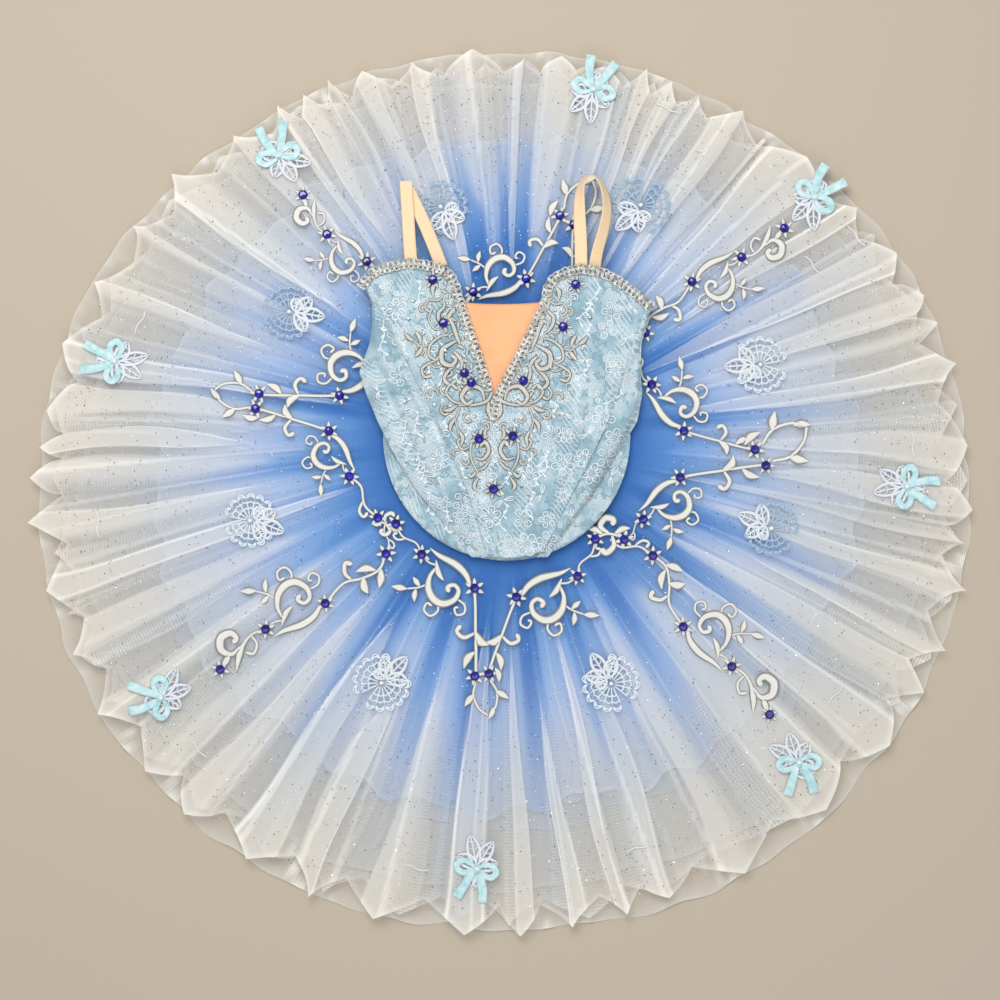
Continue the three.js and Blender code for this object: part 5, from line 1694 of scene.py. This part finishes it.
pearl_places = []
own = np.random.default_rng(141)
for k, spot in enumerate(BUTTERFLIES, start=1):
    middle = skirt_spot(spot)
    outward = np.exp(1j * (np.pi / 2 - math.radians(spot[0]) + own.uniform(-0.5, 0.5)))
    size = 0.026 * own.uniform(0.92, 1.05)
    strokes = wing(middle, np.angle(outward * np.exp(1.42j)), size)
    strokes += wing(middle, np.angle(outward * np.exp(-1.42j)), size)
    thread = steel_thread if k in STEEL_WINGS else light_thread
    piece = stitched(
        f"butterfly_{k}_wings", strokes, thread, over_thread, tall=0.0010, step=0.0022,
        section=THREAD_SECTION,
    )
    finish_piece(piece, "wing_thread", f"butterfly_{k}")
    tilt = own.uniform(-0.6, 0.6)
    root = middle - outward * 0.006
    leaves = ((-0.75, 0.9, 0.40), (0.0, 1.25, 0.40), (0.7, 0.9, 0.40), (1.4, 0.6, 0.34))
    strokes = leaf_spray(root, -outward * np.exp(1j * tilt), 0.026, leaves)
    piece = stitched(
        f"butterfly_{k}_leaves", strokes, white_lace, over_thread, tall=0.0013, step=0.0020,
        section=THREAD_SECTION,
    )
    finish_piece(piece, "white_lace")
    pearl_places.append(middle)

# -----------------------------------------------------------------------------
# The bows: narrow aqua satin ribbon tied in small bows with two tails cut straight, sewn
# near the hem over a sprig of white lace leaves, with a pearl on each knot.
# -----------------------------------------------------------------------------

satin, tree, shader = new_material("aqua satin ribbon", 0.34, Sheen_Weight=0.5, Specular_IOR_Level=0.7)
# painted shade and sheen: a noise colours the aqua ribbon darker and nearly white, as fold shade and satin
# sheen; it also drives the relief
fold_shade_and_sheen = clouds(tree, object_place(tree), 150.0)
satin_shade_and_sheen_tones = [(0.25, (0.36, 0.70, 0.76)), (0.5, (0.58, 0.86, 0.88)), (0.75, (0.82, 0.96, 0.97))]
colour_with(tree, shader, fold_shade_and_sheen, satin_shade_and_sheen_tones)
relief = maths(tree, "MULTIPLY_ADD", fold_shade_and_sheen, 2.0, stripes(tree, cloth_place(tree), 900.0))
bump_with(tree, shader, relief, 0.5, 0.0004)

BOWS = ((14, 0.87), (52, 0.89), (97, 0.79), (138, 0.83), (184, 0.81), (233, 0.82), (281, 0.82), (321, 0.83))
BOW = (  # mm from the knot, y outward: two loops and two tails
    ((0, 0, 2.5), (6, 4, 4.6), (13, 5, 5.4), (17, 0, 5.6), (12, -5, 5.0), (5, -3, 3.6), (0, 0, 2.5)),
    ((0, 0, 2.5), (-6, 4, 4.6), (-13, 6, 5.4), (-17, 1, 5.6), (-12, -4, 5.0), (-5, -3, 3.6), (0, 0, 2.5)),
    ((1, 1, 4.0), (5, 9, 6.5), (9, 18, 7.6), (13, 27, 8.2)),
    ((-1, 1, 4.0), (-5, 9, 6.5), (-8, 18, 7.6), (-9, 28, 8.2)),
)
KNOT = (((-3.4, 0.4, 5.0), (0, 0.7, 6.4), (3.4, 0.4, 5.0)),)
BOW_ENDS = ((0, 0), (8, 0))
BOW_LEAVES = (  # turn, length, fatness
    (-0.95, 0.9, 0.40), (-0.3, 1.3, 0.38), (0.3, 1.4, 0.38), (0.95, 0.95, 0.40), (2.4, 0.8, 0.38),
    (-2.4, 0.8, 0.38),
)
own = np.random.default_rng(151)
for k, spot in enumerate(BOWS, start=1):
    knot = skirt_spot(spot)
    outward = np.exp(1j * (np.pi / 2 - math.radians(spot[0]) + own.uniform(-0.6, 0.6)))
    across = outward * -1j
    ends = (knot, knot + 0.010 * across)
    strokes = fitted(BOW, BOW_ENDS, ends, bold=1.0)
    ribbons = stitched(
        f"bow_{k}_ribbon", strokes, satin, lifted(on_net, 0.0022), tall=0.0016, section=RIBBON_SECTION,
        blunt=True,
    )
    finish_piece(ribbons, "satin_ribbon", f"bow_{k}")
    strokes = fitted(KNOT, BOW_ENDS, ends, bold=1.0)
    tie = stitched(
        f"bow_{k}_knot", strokes, satin, lifted(on_net, 0.0034), tall=0.0026, section=RIBBON_SECTION
    )
    finish_piece(tie, "satin_ribbon")
    way = -outward * np.exp(1j * own.uniform(-0.7, 0.7))
    strokes = leaf_spray(knot, way, 0.026, BOW_LEAVES)
    piece = stitched(
        f"bow_{k}_leaves", strokes, white_lace, over_thread, tall=0.0012, step=0.0020,
        section=THREAD_SECTION,
    )
    finish_piece(piece, "white_lace")
    pearl_places.append(knot)

# -----------------------------------------------------------------------------
# The pearls: small round glass pearls on the butterflies and the bows' knots.
# -----------------------------------------------------------------------------

pearl_coat, tree, shader = new_material("pearl", 0.22, Coat_Weight=0.6)
pearl_tones = [(0.3, (0.80, 0.76, 0.70)), (0.7, (0.92, 0.91, 0.90))]
colour_with(tree, shader, clouds(tree, object_place(tree), 300.0), pearl_tones)


def beads(name, centres, radius, ground, lift, material):
    """Balls joined as one mesh: rings of latitude from pole to pole, 12 round, 7 high."""
    latitudes, around = np.linspace(-np.pi / 2, np.pi / 2, 8), np.arange(12) / 12 * 2 * np.pi
    tilt, turn = np.meshgrid(latitudes, around, indexing="ij")
    ball = np.stack([np.cos(tilt) * np.cos(turn), np.cos(tilt) * np.sin(turn), np.sin(tilt)], axis=-1)
    ball = ball.reshape(-1, 3)
    quads = grid_faces(8, 12, ring=True)
    centres = np.asarray(centres)
    z = ground(centres.real, centres.imag) + lift
    points = np.column_stack([centres.real, centres.imag, z])[:, None, :] + ball[None] * radius
    faces = (quads[None] + (np.arange(len(centres)) * len(ball))[:, None, None]).reshape(-1, 4)
    return make_mesh(name, points.reshape(-1, 3), faces, material)


pearls = beads("pearls", pearl_places, 0.0023, on_net, 0.0052, pearl_coat)
finish_piece(pearls, "pearl")

# -----------------------------------------------------------------------------
# The tacking threads: short white stitches that hold the nets together, far out.
# -----------------------------------------------------------------------------

TACKS = (  # degrees clockwise, reach
    (26, 0.88), (60, 0.905), (60.5, 0.735), (91, 0.815), (128, 0.785), (162, 0.81), (192, 0.83),
    (225, 0.83), (258, 0.815), (287.5, 0.795),
)
strokes = []
for turn, out in TACKS:
    angles = np.radians(turn + np.linspace(-1.9, 1.9, 4))
    x, y = skirt_place(angles, out + np.array([0, 0.004, -0.003, 0.002]))
    strokes.append((x + 1j * y, np.full(4, 0.0012)))
tacks = stitched("tacking_threads", strokes, white_lace, over_thread, tall=0.0009)
finish_piece(tacks, "white_net")

# -----------------------------------------------------------------------------
# The glitter: thousands of tiny foil dots glued to the tulle, spread evenly over it. Some
# are painted near white as glints that catch the light, and the rest are dark.
# -----------------------------------------------------------------------------

foil, tree, shader = new_material("glitter foil", 0.3, Metallic=0.3)
tree.links.new(point_value(tree, "tint", "Color"), shader.inputs["Base Color"])
DOTS = 6800
own = np.random.default_rng(161)
turn = own.uniform(0, 2 * np.pi, DOTS)
out = np.sqrt(own.uniform(0.015, 0.92, DOTS))
x, y = skirt_place(turn, out * 0.97)
z = on_net(x, y, 0.0004)
size = own.uniform(0.00036, 0.00078, DOTS)
# painted glints: these dots are coloured near white, as foil catching the light
painted_glint = own.random(DOTS) < 0.42
spin = own.uniform(0, np.pi, DOTS)
corner = np.arange(4) / 4 * 2 * np.pi
px = x[:, None] + size[:, None] * np.cos(spin[:, None] + corner)
py = y[:, None] + size[:, None] * np.sin(spin[:, None] + corner)
pz = z[:, None] + size[:, None] * 0.5 * np.sin(corner + spin[:, None] * 7)
dots = np.stack([px, py, pz], axis=-1).reshape(-1, 3)
faces = np.arange(DOTS * 4).reshape(-1, 4)
dark_dot = np.array([(0.01, 0.015, 0.03), (0.03, 0.03, 0.05), (0.10, 0.07, 0.06)])[own.integers(0, 3, DOTS)]
dot_tones_with_glints = np.where(painted_glint[:, None], np.array([0.98, 0.98, 1.0]), dark_dot)
glitter = make_mesh("glitter", dots, faces, foil, smooth=False, tint=np.repeat(dot_tones_with_glints, 4, axis=0))
finish_piece(glitter, "glitter_tulle")

# -----------------------------------------------------------------------------
# The bounds of the shown pieces, in metres.
# -----------------------------------------------------------------------------
low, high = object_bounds()
